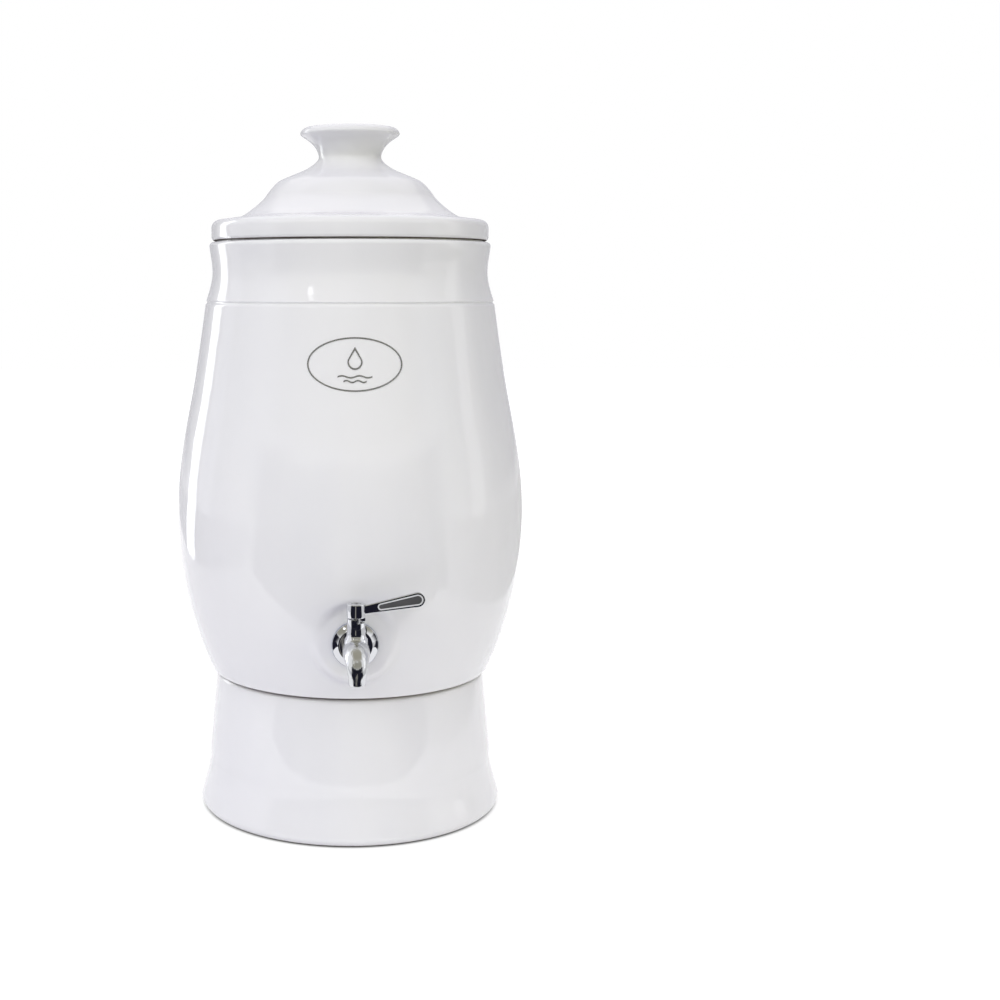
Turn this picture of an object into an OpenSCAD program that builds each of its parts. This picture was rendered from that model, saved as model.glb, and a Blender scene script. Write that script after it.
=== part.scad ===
// Gravity water filter: glazed crock on a stand, with an inner chamber, a filter cartridge and a lever tap.
// Origin: centre of the base, on the surface it stands on. +Z up, the tap faces -Y.
// Every revolved piece is coaxial with Z.

/* [Stand] */
// Height of the stand up to its lip
stand_h = 107; // [95:1:130]
// Wall of the stand
stand_wall = 8; // [6:0.5:10]
// Radius at the lip
stand_lip_r = 104; // [102.5:0.1:106]
// Radius of the side where the foot starts to flare
stand_side_r = 110.2; // [109:0.1:112]
// Radius just above the faint ridge round the side
stand_ridge_r = 109.5; // [108.5:0.1:110]
// Height of the ridge
stand_ridge_z = 42; // [41:1:60]
// Largest radius of the foot
stand_foot_r = 117; // [114:0.5:121]
// Thickness of the deck that carries the crock
stand_deck_t = 8; // [6:0.5:12]
// Radius of the hole in the deck
stand_hole_r = 55; // [45:1:65]
// Height of the straight inner wall of the foot
foot_bore_h = 8; // [5:0.5:14]
// Depth of the recess that holds the crock's foot
recess_d = 6; // [4:0.5:9]

/* [Crock] */
// Height of the crock from its lower edge to its rim
crock_h = 325.7; // [320:0.1:340]
// Wall of the crock
crock_wall = 8; // [6.5:0.5:9]
// Radius at the lower edge
crock_base_r = 106.2; // [105:0.1:109]
// Radius just above the tap
tapside_r = 118.3; // [117:0.1:121]
// Height where that radius is taken
tapside_h = 30; // [26:1:34]
// Radius of the belly
belly_r = 132.6; // [128:0.1:138]
// Height of the belly above the lower edge
belly_h = 121; // [110:1:130]
// Radius halfway up the shoulder
shoulder_r = 121.3; // [118:0.1:124]
// Height halfway up the shoulder
shoulder_h = 206; // [195:1:215]
// Radius at the groove below the neck
groove_r = 109; // [108:0.1:112]
// Height of the groove
groove_h = 281.2; // [276:0.1:285]
// Depth of the groove
groove_d = 0.9; // [0.5:0.1:1.5]
// Smallest radius of the neck
neck_r = 103.8; // [103.5:0.1:106]
// Height of the smallest radius
neck_h = 304; // [300:1:307]
// Radius of the rim
rim_r = 106.2; // [105.5:0.1:109]
// Radius of the mouth
mouth_r = 95; // [92:0.5:95.5]
// Depth of the ledge in the rim that carries the chamber
ledge_d = 3.2; // [2:0.1:4]
// Outer radius of the foot ring
crock_foot_r = 93; // [88:0.5:94]
// Width of the foot ring
foot_ring_w = 12; // [8:1:16]
// Thickness of the floor
crock_floor_t = 9; // [7:0.5:12]
// Gap that shows between crock and stand
seam_gap = 0.8; // [0.5:0.1:1.5]

/* [Lid] */
// Radius of the lid
lid_r = 104.2; // [103:0.1:106.5]
// Height of the lid's rim
lid_rim_h = 15.6; // [13:0.1:18]
// Radius where the rim meets the dome
lid_foot_r = 84; // [80:0.5:88]
// Radius of the dome's shoulder
lid_shoulder_r = 56; // [52:0.5:60]
// Height of the dome's shoulder above the lid's lower face
lid_shoulder_h = 42.3; // [40:0.1:46]
// Radius of the knob's waist
knob_waist_r = 23.4; // [20:0.1:27]
// Height of the knob's waist
knob_waist_h = 62.3; // [58:0.1:65]
// Radius of the knob
knob_r = 37.2; // [33:0.1:41]
// Height of the lid with its knob
lid_h = 85.4; // [83:0.1:92]
// Wall of the lid
lid_wall = 7; // [5:0.5:8]
// Depth of the ring under the lid that centres it
spigot_d = 9; // [6:0.5:14]
// Width of that ring
spigot_w = 4; // [3:0.5:6]

/* [Upper chamber] */
// Depth of the chamber under its flange
chamber_d = 150; // [140:1:160]
// Wall of the chamber
chamber_wall = 2.5; // [2:0.1:3.5]
// Floor of the chamber
chamber_floor_t = 3; // [2.5:0.1:5]
// Thickness of the flange it hangs by
flange_t = 4; // [3:0.1:5]
// How much narrower the chamber is at its floor
chamber_taper = 7; // [4:0.5:10]

/* [Dome filter] */
// Radius of the ceramic dome
dome_r = 45; // [40:0.5:50]
// Height of the ceramic dome
dome_h = 61; // [50:1:70]
// Wall of the ceramic dome
dome_wall = 8; // [6:0.5:10]
// Thickness of the plate under the dome
dome_plate_t = 8; // [6:0.5:10]
// Radius of the threaded stem under the plate
stem_r = 6; // [5:0.1:7]
// Radius of the stem's waterway
stem_bore_r = 3.2; // [2.5:0.1:3.8]
// Height of the nut that clamps the dome to the chamber
stem_nut_h = 8; // [6:0.5:10]
// Thickness of each flat rubber seal
seal_t = 2; // [1.5:0.1:3]

/* [Cartridge] */
// Outer radius of the cartridge's clear sleeve
sleeve_r = 35; // [32:0.5:38]
// Wall of the clear sleeve
sleeve_wall = 2.5; // [2:0.1:3.5]
// Height of the cartridge's top cap
cap_h = 20; // [17:0.5:24]
// Height of the cartridge's bottom basket
basket_h = 14; // [11:0.5:18]
// Depth of the carbon bed
carbon_h = 26; // [20:1:30]
// Depth of the zeolite bed
zeolite_h = 15; // [12:1:18]
// Depth of the silica sand bed
sand_h = 13; // [10:1:16]
// Thickness of a filter pad
pad_t = 2.5; // [2:0.1:4]
// Radius of a mineral ball
ball_r = 4.5; // [4:0.1:4.6]
// Lead of the cartridge's thread
thread_lead = 3; // [2:0.5:4]

/* [Tap] */
// Height of the tap above the crock's lower edge
tap_h = 44.2; // [40:0.2:56]
// Radius of the tap's round flange
tap_flange_r = 16.3; // [15:0.1:18]
// Radius of the tap's barrel
barrel_r = 9.4; // [9:0.1:10.5]
// Distance from the seat on the crock to the lever's axis
hub_reach = 20; // [19:0.5:23]
// Distance from the seat to where the spout starts to bend
bend_start = 28; // [27.5:0.5:31]
// Bend radius of the spout
spout_bend = 13; // [12:0.5:16]
// Outer radius of the spout's end
spout_r = 5.6; // [5.2:0.1:6.5]
// Drop from the tap's axis to the spout's end
spout_drop = 18.5; // [18:0.5:24]
// Radius of the outlet
outlet_r = 3.8; // [3.2:0.1:4.2]
// Radius of the neck that carries the lever
tap_neck_r = 6.3; // [6:0.1:7]
// Height of the neck's top above the tap's axis
tap_neck_h = 23.3; // [22:0.1:27]
// Radius of the lever's hub
hub_r = 6.5; // [6.2:0.1:7.5]
// Height of the lever's hub
hub_h = 9.6; // [9:0.1:12]
// Distance from the hub's axis to the centre of the lever's round end
lever_reach = 43; // [38:0.5:50]
// Half height of the lever at its round end
lever_end_r = 5.2; // [4.5:0.1:6]
// Half height of the lever at the hub
lever_root_r = 2.6; // [2.4:0.1:3.6]
// Thickness of the lever
lever_t = 3.6; // [3:0.1:5]
// Rise of the lever, degrees
lever_rise = 10.5; // [5:0.5:15]
// Radius of the shank's thread
shank_r = 8; // [7.8:0.1:8.4]
// Radius of the ball valve
valve_r = 5.8; // [5.4:0.1:5.9]
// Radius of the ball valve's waterway
valve_bore_r = 3; // [2.4:0.1:3.1]

/* [Badge] */
// Half width of the oval badge
badge_w = 33; // [26:0.5:36]
// Half height of the oval badge
badge_h = 18.6; // [15:0.1:21]
// Height of the badge's centre above the crock's lower edge
badge_z = 240; // [232:1:246]
// Width of the badge's line
badge_line = 1; // [0.8:0.1:1.6]
// Thickness of the badge
badge_t = 0.35; // [0.25:0.05:0.6]

/* [Hidden] */
$fn = 96;
run = 0.05;          // radial clearance of a turning fit
fit = 0.3;           // clearance of a loose fit
eps = 0.02;          // overshoot of a cut

// The crock's profile: [height, radius, slope] above its lower edge
groove_slope = -0.15;
crock_side = [
    [0, crock_base_r, 0.55],
    [tapside_h, tapside_r, 0.32],
    [belly_h, belly_r, 0],
    [shoulder_h, shoulder_r, -0.205],
    [groove_h, groove_r, groove_slope],
];
crock_neck = [
    [groove_h, groove_r, -0.32],
    [neck_h, neck_r, 0],
    [crock_h, rim_r, 0.08],
];
groove_half = 1.3;   // half width of the groove
base_round = 3;      // rounding of the crock's lower edge
rim_round = 3;       // rounding of the crock's rim
rim_thick_h = 10;    // height of the thicker wall under the ledge
rim_blend_h = 6;     // height over which that wall thins
floor_round = 8;     // rounding between the crock's wall and floor

// The lid's rim
lid_round = 6;       // rounding above the rim
lid_under_round = 3; // rounding under the rim
spigot_gap = 1.2;    // clearance between the lid's ring and the chamber
ceiling_drop = 3;    // how far the lid's ceiling lies under the dome's shoulder
ceiling_round = 6;   // rounding inside the lid

// The stand's profile: [height, radius, slope]
foot_round = 6;      // rounding under the foot
flare_z = 34;        // height where the foot starts to flare
ridge_w = 8;         // height of the faint ridge
lip_round = 4;       // rounding of the lip
foot_contact_w = 6;  // width of the ring that touches the ground
recess_gap = 1.5;    // clearance round the crock's foot ring
deck_chamfer = 2.5;  // chamfer where the deck meets the wall, underneath
stand_foot = [
    [foot_round, stand_foot_r, -0.24],
    [flare_z, stand_side_r, -0.1],
];
stand_side = [
    [flare_z, stand_side_r, -0.1],
    [stand_ridge_z - ridge_w / 2, stand_side_r - 0.3, -0.02],
    [stand_ridge_z + ridge_w / 2, stand_ridge_r, -0.09],
    [stand_h - lip_round, stand_lip_r, -0.09],
];

// Heights above the surface the stand rests on
deck_top = stand_h - recess_d;
crock_z = stand_h + seam_gap;
floor_z = crock_z + crock_floor_t;             // top of the crock's floor
rim_z = crock_z + crock_h;
ledge_z = rim_z - ledge_d;
lid_z = ledge_z + flange_t;
ledge_w = 6.2;                                 // width of the ledge in the rim
ledge_r = mouth_r + ledge_w;
chamber_gap = 1.5;                             // clearance of the chamber in the mouth
flange_gap = 0.6;                              // clearance of its flange in the ledge
chamber_r = mouth_r - chamber_gap;
chamber_floor_r = chamber_r - chamber_taper;
chamber_z = ledge_z - chamber_d;               // underside of the chamber's floor
plate_z = chamber_z + chamber_floor_t + seal_t;
dome_z = plate_z + dome_plate_t;
nut_z = chamber_z - seal_t - stem_nut_h;       // underside of the stem nut
cap_z = nut_z - seal_t;                        // top of the cartridge
stem_in_cap = 12;                              // length of stem inside the cartridge
dome_lip = 2.5;                                // depth of the plate's socket, and height of its lip
dome_gap = 0.2;
plate_r = dome_r + 3;
seal_r = stem_r + 8;
stem_nut_r = seal_r + 1;

// The cartridge's fill, from the top down
bed_r = sleeve_r - sleeve_wall - fit;
plug_h = 4;                                    // how far the cap's plug stays above its edge
sleeve_sink = 6;                               // how far the sleeve ends below the cap's top
bed_top = cap_z - cap_h + plug_h;
sleeve_top = cap_z - sleeve_sink;
carbon_z = bed_top - pad_t - carbon_h;
zeolite_z = carbon_z - pad_t - zeolite_h;
sand_z = zeolite_z - pad_t - sand_h;
balls_z = sand_z - pad_t - 2 * ball_r;
basket_floor = balls_z - pad_t;
basket_t = 3;
basket_z = basket_floor - basket_t;
cap_r = sleeve_r + 3;

// The tap
tap_z = crock_z + tap_h;
seat_y = radius_at(crock_side, tap_h) - 0.3;   // distance from the crock's axis to the tap's seat
seat_r = tap_flange_r + 9;
inner_seat_r = 18;
seat_wall = 9;                                 // wall between the two seats
seat_cut = 20;                                 // depth of the cuts that make them
hole_gap = 0.4;                                // clearance of a stem or shank in its hole
tap_washer_t = 1.5;
tap_flange_t = 3.5;
barrel_start = tap_washer_t + tap_flange_t;
boss_step = 1.9;                               // how much wider the boss is than the barrel
boss_r = barrel_r + boss_step;
socket_end = 12;
socket_r = shank_r - 1;
cavity_r = valve_r + 0.4;
spout_bore_r = 3;
spout_arc = spout_bend * PI / 2;               // length of the spout's bend
spout_straight = spout_drop - spout_bend;      // and of its straight end
stem_post_r = 3.15;                            // radius of the valve's stem
stem_shoulder_r = 4.2;
stem_shoulder_z = 7.4;
hub_gap = 0.8;
hub_z = tap_neck_h + hub_gap;
drive_w = 4.2;                                 // square drive between stem and hub
drive_h = 6.2;
valve_seat_gap = 3;                            // from the valve's axis to each seat
tang_w = 2;                                    // tang that turns the ball
tang_l = 5.2;
tang_bottom = valve_r - 1.9;
o_ring_z = [12, 17];                           // heights of the O-rings on the stem
o_ring_t = 0.48;                               // half thickness of an O-ring
o_groove_r = 2.2;
screw_r = 1.25;                                // screw that holds the lever
screw_head_r = 3;
screw_sink = 1.4;                              // depth of its counterbore
notch_d = 2.6;
lug_a = 12;                                    // half angle of the stop lug
lug_r = stem_post_r + 1.1;                     // and its inner radius
lug_at = 18;                                   // angle of the lug behind the lever
lever_turn = 90;
lever_mid = hub_z + hub_h / 2 - 0.5;           // height of the lever's middle at the hub
pocket_d = 0.9;                                // depth of the pocket in the lever
pocket_edge = 1.7;                             // width of the rim left round it
pocket_x = 17.5;                               // where the pocket starts along the lever
rear_washer_t = 2.5;
tap_nut_t = 7;
tap_nut_af = 24;                               // across the nut's flats
tap_nut_r = tap_nut_af / 2 / cos(30);
shank_bore_r = 4.6;
shank_tail = seat_wall + rear_washer_t + tap_nut_t + 5;

// Cubic from a to b with end tangents ta and tb
function hermite(a, b, ta, tb, t) =
    (2 * t ^ 3 - 3 * t ^ 2 + 1) * a + (t ^ 3 - 2 * t ^ 2 + t) * ta
    + (3 * t ^ 2 - 2 * t ^ 3) * b + (t ^ 3 - t ^ 2) * tb;

function segment_r(p, q, h) =
    let (w = q[0] - p[0], t = (h - p[0]) / w)
    hermite(p[1], q[1], p[2] * w, q[2] * w, t);

// Radius of a profile of [height, radius, slope] knots at height h
function radius_at(knots, h, i = 0) =
    (i >= len(knots) - 2 || h <= knots[i + 1][0])
        ? segment_r(knots[i], knots[i + 1], h)
        : radius_at(knots, h, i + 1);

// Points [radius, height] of a profile between two heights, moved out by off
function side(knots, h0, h1, n, off = 0) =
    [for (j = [0:n]) let (h = h0 + (h1 - h0) * j / n) [radius_at(knots, h) + off, h]];

// Smooth path through [radius, height, tangent radius, tangent height] knots
function path_through(knots, n) = [
    for (i = [0:len(knots) - 2])
        for (j = [i == 0 ? 0 : 1:n])
            let (p = knots[i], q = knots[i + 1], t = j / n)
            [hermite(p[0], q[0], p[2], q[2], t), hermite(p[1], q[1], p[3], q[3], t)],
];

function arc(c, r, a0, a1, n = 6) =
    [for (j = [0:n]) let (a = a0 + (a1 - a0) * j / n) [c[0] + r * cos(a), c[1] + r * sin(a)]];

module ring(r_out, r_in, z0, z1) {
    translate([0, 0, z0]) difference() {
        cylinder(r = r_out, h = z1 - z0);
        translate([0, 0, -1]) cylinder(r = r_in, h = z1 - z0 + 2);
    }
}

module cylinder_from(r, z0, z1) {
    translate([0, 0, z0]) cylinder(r = r, h = z1 - z0);
}

// Places its children on the tap's axis, with local +Z pointing out of the crock from the seat
module on_tap() {
    translate([0, -seat_y, tap_z]) rotate([90, 0, 0]) children();
}

// Places its children on the lever's axis, with z = 0 at the tap's axis
module on_hub() {
    translate([0, -seat_y - hub_reach, tap_z]) children();
}

// Rod with a row of V-shaped thread ridges, from z0 to z1
module threaded_rod(r, z0, z1, pitch, depth) {
    turns = floor((z1 - z0) / pitch);
    rotate_extrude() polygon(concat(
        [[0, z0], [r - depth, z0]],
        [for (i = [0:turns - 1]) each [
            [r - depth, z0 + (i + 0.1) * pitch],
            [r, z0 + (i + 0.4) * pitch],
            [r, z0 + (i + 0.6) * pitch],
            [r - depth, z0 + (i + 0.9) * pitch],
        ]],
        [[r - depth, z1], [0, z1]]
    ));
}

module stand() {
    ceiling = deck_top - stand_deck_t;
    recess_r = crock_foot_r + recess_gap;
    wall_r = stand_lip_r - stand_wall;
    foot_bore_r = stand_foot_r - foot_round - foot_contact_w;
    outside = concat(
        arc([stand_foot_r - foot_round, foot_round], foot_round, -90, 0),
        side(stand_foot, foot_round, flare_z, 10),
        side(stand_side, flare_z + 1, stand_h - lip_round, 24),
        arc([stand_lip_r - lip_round, stand_h - lip_round], lip_round, 0, 90)
    );
    deck = [[recess_r, stand_h], [recess_r, deck_top], [stand_hole_r, deck_top], [stand_hole_r, ceiling]];
    inside = [
        [wall_r - deck_chamfer, ceiling], [wall_r, ceiling - deck_chamfer],
        [stand_side_r - stand_wall, flare_z], [foot_bore_r, foot_bore_h], [foot_bore_r, 0],
    ];
    color("white") rotate_extrude() polygon(concat(outside, deck, inside));
}

// Points of the crock's outside above its rounded lower edge, with the groove
function crock_outside(off = 0) = concat(
    side(crock_side, base_round, groove_h - groove_half, 40, off),
    [[groove_r - groove_d + off, groove_h]],
    side(crock_neck, groove_h + groove_half, crock_h - rim_round, 16, off)
);

// Where the crock's inner wall starts to round into the floor, and the flat floor's radius
inner_low = crock_floor_t + floor_round;
inner_low_r = radius_at(crock_side, inner_low) - crock_wall;
floor_r = inner_low_r - floor_round;

// The wall, from the edge of the flat floor to the rim
module crock_shell() {
    edge = crock_outside();
    first = edge[0];
    last = edge[len(edge) - 1];
    thick_to = crock_h - ledge_d - rim_thick_h;
    outside = concat(
        [[floor_r, 0]],
        arc([first[0] - base_round, base_round], base_round, -90, 0, 5),
        edge,
        arc([last[0] - rim_round, crock_h - rim_round], rim_round, 0, 90)
    );
    inside = concat(
        [[ledge_r, crock_h], [ledge_r, crock_h - ledge_d], [mouth_r, crock_h - ledge_d], [mouth_r, thick_to]],
        side(crock_neck, thick_to - rim_blend_h, groove_h, 5, -crock_wall),
        side(crock_side, groove_h - 3 * groove_half, inner_low, 24, -crock_wall),
        arc([floor_r, inner_low], floor_round, -15, -90, 5)
    );
    translate([0, 0, crock_z]) rotate_extrude() polygon(concat(outside, inside));
}

module crock() {
    color("white") difference() {
        union() {
            crock_shell();
            on_tap() translate([0, 0, -seat_wall]) cylinder(r = seat_r, h = seat_wall);
        }
        on_tap() cylinder(r = seat_r, h = seat_cut);
        on_tap() translate([0, 0, -seat_wall - seat_cut]) cylinder(r = inner_seat_r, h = seat_cut);
        on_tap() translate([0, 0, -seat_wall - 1]) cylinder(r = shank_r + hole_gap, h = seat_wall + 2);
    }
}

// The flat floor with its foot ring, of one piece with the crock's wall
module crock_floor() {
    foot_h = crock_z - deck_top;
    color("white") translate([0, 0, crock_z]) rotate_extrude() polygon([
        [0, 0], [crock_foot_r - foot_ring_w, 0], [crock_foot_r - foot_ring_w, -foot_h],
        [crock_foot_r, -foot_h], [crock_foot_r, 0],
        [floor_r, 0], [floor_r, crock_floor_t], [0, crock_floor_t],
    ]);
}

function oval(w, h, n = 60) = [for (i = [0:n - 1]) [w * cos(360 * i / n), h * sin(360 * i / n)]];

// A drop: a round bottom of radius r drawn out to a point at height h
function drop(r, h, n = 24) = concat(
    [for (j = [0:n]) let (a = -200 + 220 * j / n) [r * cos(a), r * sin(a)]],
    [[0, h]]
);

// A wavy line of the given length and amplitude
function wave(l, amp, t, n = 16) = concat(
    [for (i = [0:n]) [-l / 2 + l * i / n, amp * sin(720 * i / n) + t / 2]],
    [for (i = [n:-1:0]) [-l / 2 + l * i / n, amp * sin(720 * i / n) - t / 2]]
);

module badge() {
    low = badge_z - badge_h - 2 * badge_line;
    high = badge_z + badge_h + 2 * badge_line;
    skin = concat(
        side(crock_side, low, high, 8, badge_t),
        side(crock_side, high, low, 8, eps)
    );
    color("silver") intersection() {
        translate([0, 0, crock_z]) rotate_extrude() polygon(skin);
        translate([0, 0, crock_z + badge_z]) rotate([90, 0, 0]) linear_extrude(2 * belly_r) union() {
            difference() {
                polygon(oval(badge_w, badge_h));
                polygon(oval(badge_w - badge_line, badge_h - badge_line));
            }
            translate([0, 1.5]) difference() {
                polygon(drop(5.2, 10.5));
                translate([0, 0.2]) polygon(drop(4.2, 8));
            }
            for (i = [0:1]) translate([0, -8.4 - 3.2 * i]) polygon(wave(24 - 8 * i, 0.7, badge_line));
        }
    }
}

// The lid's outside from the rounded top of its rim to the knob, as knots of
// [radius, height, tangent radius, tangent height]
lid_path = [
    [lid_r - lid_round, lid_rim_h, -6, 0.3],
    [lid_foot_r, lid_rim_h + 2, -13, 1.6],
    [lid_shoulder_r + 7.2, lid_shoulder_h - 9, -8, 12.5],
    [lid_shoulder_r - 2.7, lid_shoulder_h + 1.9, -8.5, 5.4],
    [knob_waist_r + 13, knob_waist_h - 10.8, -14, 5.8],
    [knob_waist_r, knob_waist_h, 0, 12],
    [knob_r - 7.2, lid_h - 11.9, 9.5, 7.5],
    [knob_r, lid_h - 6.2, 0, 4.4],
    [knob_r - 4.2, lid_h - 1.9, -7, 1.5],
    [0, lid_h, -20, 0],
];

module lid() {
    spigot_r = chamber_r - chamber_wall - spigot_gap;
    ceiling = lid_shoulder_h - ceiling_drop;
    inside = [
        [spigot_r - spigot_w, lid_rim_h - ceiling_round, 0, 6],
        [lid_foot_r - lid_wall - ceiling_round, lid_rim_h, -16, 2],
        [lid_shoulder_r - lid_wall, ceiling - ceiling_round, -14, 10],
        [0, ceiling, -30, 0],
    ];
    outside = concat(
        arc([lid_r - lid_under_round, lid_under_round], lid_under_round, -90, 0, 4),
        arc([lid_r - lid_round, lid_rim_h - lid_round], lid_round, 0, 75, 5),
        path_through(lid_path, 6)
    );
    inner = path_through(inside, 6);
    color("white") translate([0, 0, lid_z]) rotate_extrude() polygon(concat(
        [[spigot_r, 0]],
        outside,
        [for (i = [len(inner) - 1:-1:0]) inner[i]],
        [[spigot_r - spigot_w, -spigot_d], [spigot_r, -spigot_d]]
    ));
}

module upper_chamber() {
    round_r = 8;
    hole_r = stem_r + hole_gap;
    flange_r = ledge_r - flange_gap;
    color("whitesmoke") rotate_extrude() polygon(concat(
        [[hole_r, chamber_z]],
        arc([chamber_floor_r - round_r, chamber_z + round_r], round_r, -90, 0, 5),
        [[chamber_r, ledge_z - flange_t], [chamber_r, ledge_z], [flange_r, ledge_z], [flange_r, lid_z]],
        [[chamber_r - chamber_wall, lid_z], [chamber_r - chamber_wall, ledge_z - flange_t]],
        arc([chamber_floor_r - round_r, chamber_z + round_r], round_r - chamber_wall, 0, -60, 4),
        [[chamber_floor_r - round_r, chamber_z + chamber_floor_t], [hole_r, chamber_z + chamber_floor_t]]
    ));
}

module dome_seal() {
    color("gray") ring(seal_r, stem_r + fit, chamber_z + chamber_floor_t, plate_z);
}

module dome_plate() {
    stem_end = cap_z - stem_in_cap;
    color("whitesmoke") difference() {
        union() {
            translate([0, 0, plate_z]) cylinder(r = plate_r, h = dome_plate_t - dome_lip);
            ring(plate_r, dome_r + dome_gap, plate_z + dome_plate_t - dome_lip - eps, dome_z + dome_lip);
            threaded_rod(stem_r, stem_end, plate_z + 1, 2, 0.5);
        }
        cylinder_from(stem_bore_r, stem_end - 1, dome_z + 1);
    }
}

module ceramic_dome() {
    foot = dome_z - dome_lip;
    straight = 25;       // height of the dome's straight side
    function cap(r, h, n) = [for (j = [0:n]) let (a = 90 * j / n) [r * cos(a), foot + straight + h * sin(a)]];
    inner = cap(dome_r - dome_wall, dome_h - straight - dome_wall, 10);
    color("ivory") rotate_extrude() polygon(concat(
        [[dome_r, foot]],
        cap(dome_r, dome_h - straight, 12),
        [for (i = [len(inner) - 1:-1:0]) inner[i]],
        [[dome_r - dome_wall, foot]]
    ));
}

module stem_washer() {
    color("gray") ring(seal_r, stem_r + fit, chamber_z - seal_t, chamber_z);
}

module stem_nut() {
    collar_h = 2;
    color("whitesmoke") difference() {
        union() {
            translate([0, 0, nut_z]) cylinder(r = stem_nut_r, h = stem_nut_h, $fn = 6);
            translate([0, 0, nut_z + stem_nut_h - collar_h]) cylinder(r = stem_nut_r, h = collar_h);
        }
        translate([0, 0, nut_z - 1]) cylinder(r = stem_r + run, h = stem_nut_h + 2);
    }
}

module cartridge_seal() {
    color("gray") ring(seal_r - 1, stem_r + fit, cap_z, nut_z);
}

module cartridge_cap() {
    socket_d = stem_in_cap + 2;
    foot = cap_z - cap_h;
    boss_h = 2;          // height of the raised middle of the cap
    cap_round = 3;
    grip_ribs = 24;
    vents = 6;
    color("royalblue") difference() {
        union() {
            rotate_extrude() polygon(concat(
                [[0, bed_top], [bed_r, bed_top], [bed_r, sleeve_top + fit]],
                [[sleeve_r + fit, sleeve_top + fit], [sleeve_r + fit, foot], [cap_r, foot]],
                arc([cap_r - cap_round, cap_z - boss_h - cap_round], cap_round, 0, 90, 4),
                [[seal_r + 3 * boss_h, cap_z - boss_h], [seal_r + 2 * boss_h, cap_z], [0, cap_z]]
            ));
            for (i = [0:grip_ribs - 1]) rotate([0, 0, 360 * i / grip_ribs])
                translate([cap_r - 0.2, 0, foot + boss_h]) cylinder(r = 0.8, h = cap_h - 8);
        }
        cylinder_from(stem_r + run, cap_z - socket_d, cap_z + 1);
        for (i = [0:vents - 1]) rotate([0, 0, 360 * i / vents]) translate([bed_r / 2, 0, foot])
            cylinder(r = 2.5, h = cap_h - socket_d + 2);
        translate([0, 0, foot]) cylinder(r = stem_bore_r - 0.2, h = cap_h - socket_d + 1);
    }
}

module cartridge_sleeve() {
    color("lightblue") ring(sleeve_r, sleeve_r - sleeve_wall, basket_floor, sleeve_top);
}

module cartridge_basket() {
    lip_top = basket_z + basket_h;
    hole_pitch = 9;
    color("royalblue") difference() {
        union() {
            translate([0, 0, basket_z]) cylinder(r = cap_r, h = basket_t);
            ring(cap_r, sleeve_r + fit, basket_z + basket_t - eps, lip_top);
        }
        for (k = [0:2]) for (i = [0:5 + 6 * k])
            rotate([0, 0, 360 * i / (6 + 6 * k)]) translate([hole_pitch * (k + 1), 0, basket_z - 1])
                cylinder(r = 1.8, h = basket_t + 2);
    }
}

module pad(z) {
    translate([0, 0, z]) cylinder(r = bed_r, h = pad_t);
}

module filter_pads() {
    color("white") {
        pad(carbon_z + carbon_h);
        pad(zeolite_z + zeolite_h);
        pad(sand_z + sand_h);
        pad(balls_z + 2 * ball_r);
        pad(basket_floor);
    }
}

module bed(z, h) {
    translate([0, 0, z]) cylinder(r = bed_r, h = h);
}

module carbon_bed() {
    color("black") bed(carbon_z, carbon_h);
}

module zeolite_bed() {
    color("tan") bed(zeolite_z, zeolite_h);
}

module silica_sand_bed() {
    color("wheat") bed(sand_z, sand_h);
}

// One layer of balls in a centre and three rings, each ring six balls longer than the last
module mineral_balls() {
    rings = 3;
    step = (bed_r - ball_r) / rings;
    color("peru") translate([0, 0, balls_z + ball_r]) {
        sphere(r = ball_r - run);
        for (k = [1:rings]) for (i = [0:6 * k - 1])
            rotate([0, 0, 360 * i / (6 * k)]) translate([step * k, 0, 0]) sphere(r = ball_r - run);
    }
}

module tap_front_washer() {
    color("lightgray") on_tap() ring(tap_flange_r + 0.2, shank_r + fit, 0, tap_washer_t);
}

module tap_flange() {
    color("silver") on_tap() difference() {
        rotate_extrude() polygon(concat(
            [[0, tap_washer_t]],
            [[tap_flange_r, tap_washer_t], [tap_flange_r, tap_washer_t + 1]],
            [[boss_r + 1.2, barrel_start - 0.4], [boss_r + 0.4, barrel_start], [0, barrel_start]]
        ));
        translate([0, 0, tap_washer_t - 1]) cylinder(r = shank_r + 0.1, h = tap_flange_t + 2);
    }
}

// Radius of the spout at fraction t of its way from the barrel to its end
function spout_radius(t) = hermite(barrel_r - 0.1, spout_r, -1.5, -1.5, t);

// Centre line of the spout in the plane [out, up], with its direction
function spout_line(s) = s < spout_arc
    ? let (a = 90 * s / spout_arc)
        [bend_start + spout_bend * sin(a), -spout_bend * (1 - cos(a)), a]
    : [bend_start + spout_bend, -spout_bend - (s - spout_arc), 90];

// The spout: rings of points swept along its centre line
module spout_skin() {
    rings = 16;
    sides = 28;
    total = spout_arc + spout_straight;
    points = [for (i = [0:rings]) let (s = total * i / rings, c = spout_line(s), r = spout_radius(i / rings))
        for (j = [0:sides - 1]) let (b = 360 * j / sides)
            [r * cos(b), -(c[0] + r * sin(b) * sin(c[2])), c[1] + r * sin(b) * cos(c[2])]];
    faces = concat(
        [[for (j = [0:sides - 1]) j]],
        [for (i = [0:rings - 1]) for (j = [0:sides - 1]) let (k = (j + 1) % sides)
            [i * sides + j, (i + 1) * sides + j, (i + 1) * sides + k, i * sides + k]],
        [[for (j = [sides - 1:-1:0]) rings * sides + j]]
    );
    polyhedron(points = points, faces = faces, convexity = 4);
}

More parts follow.
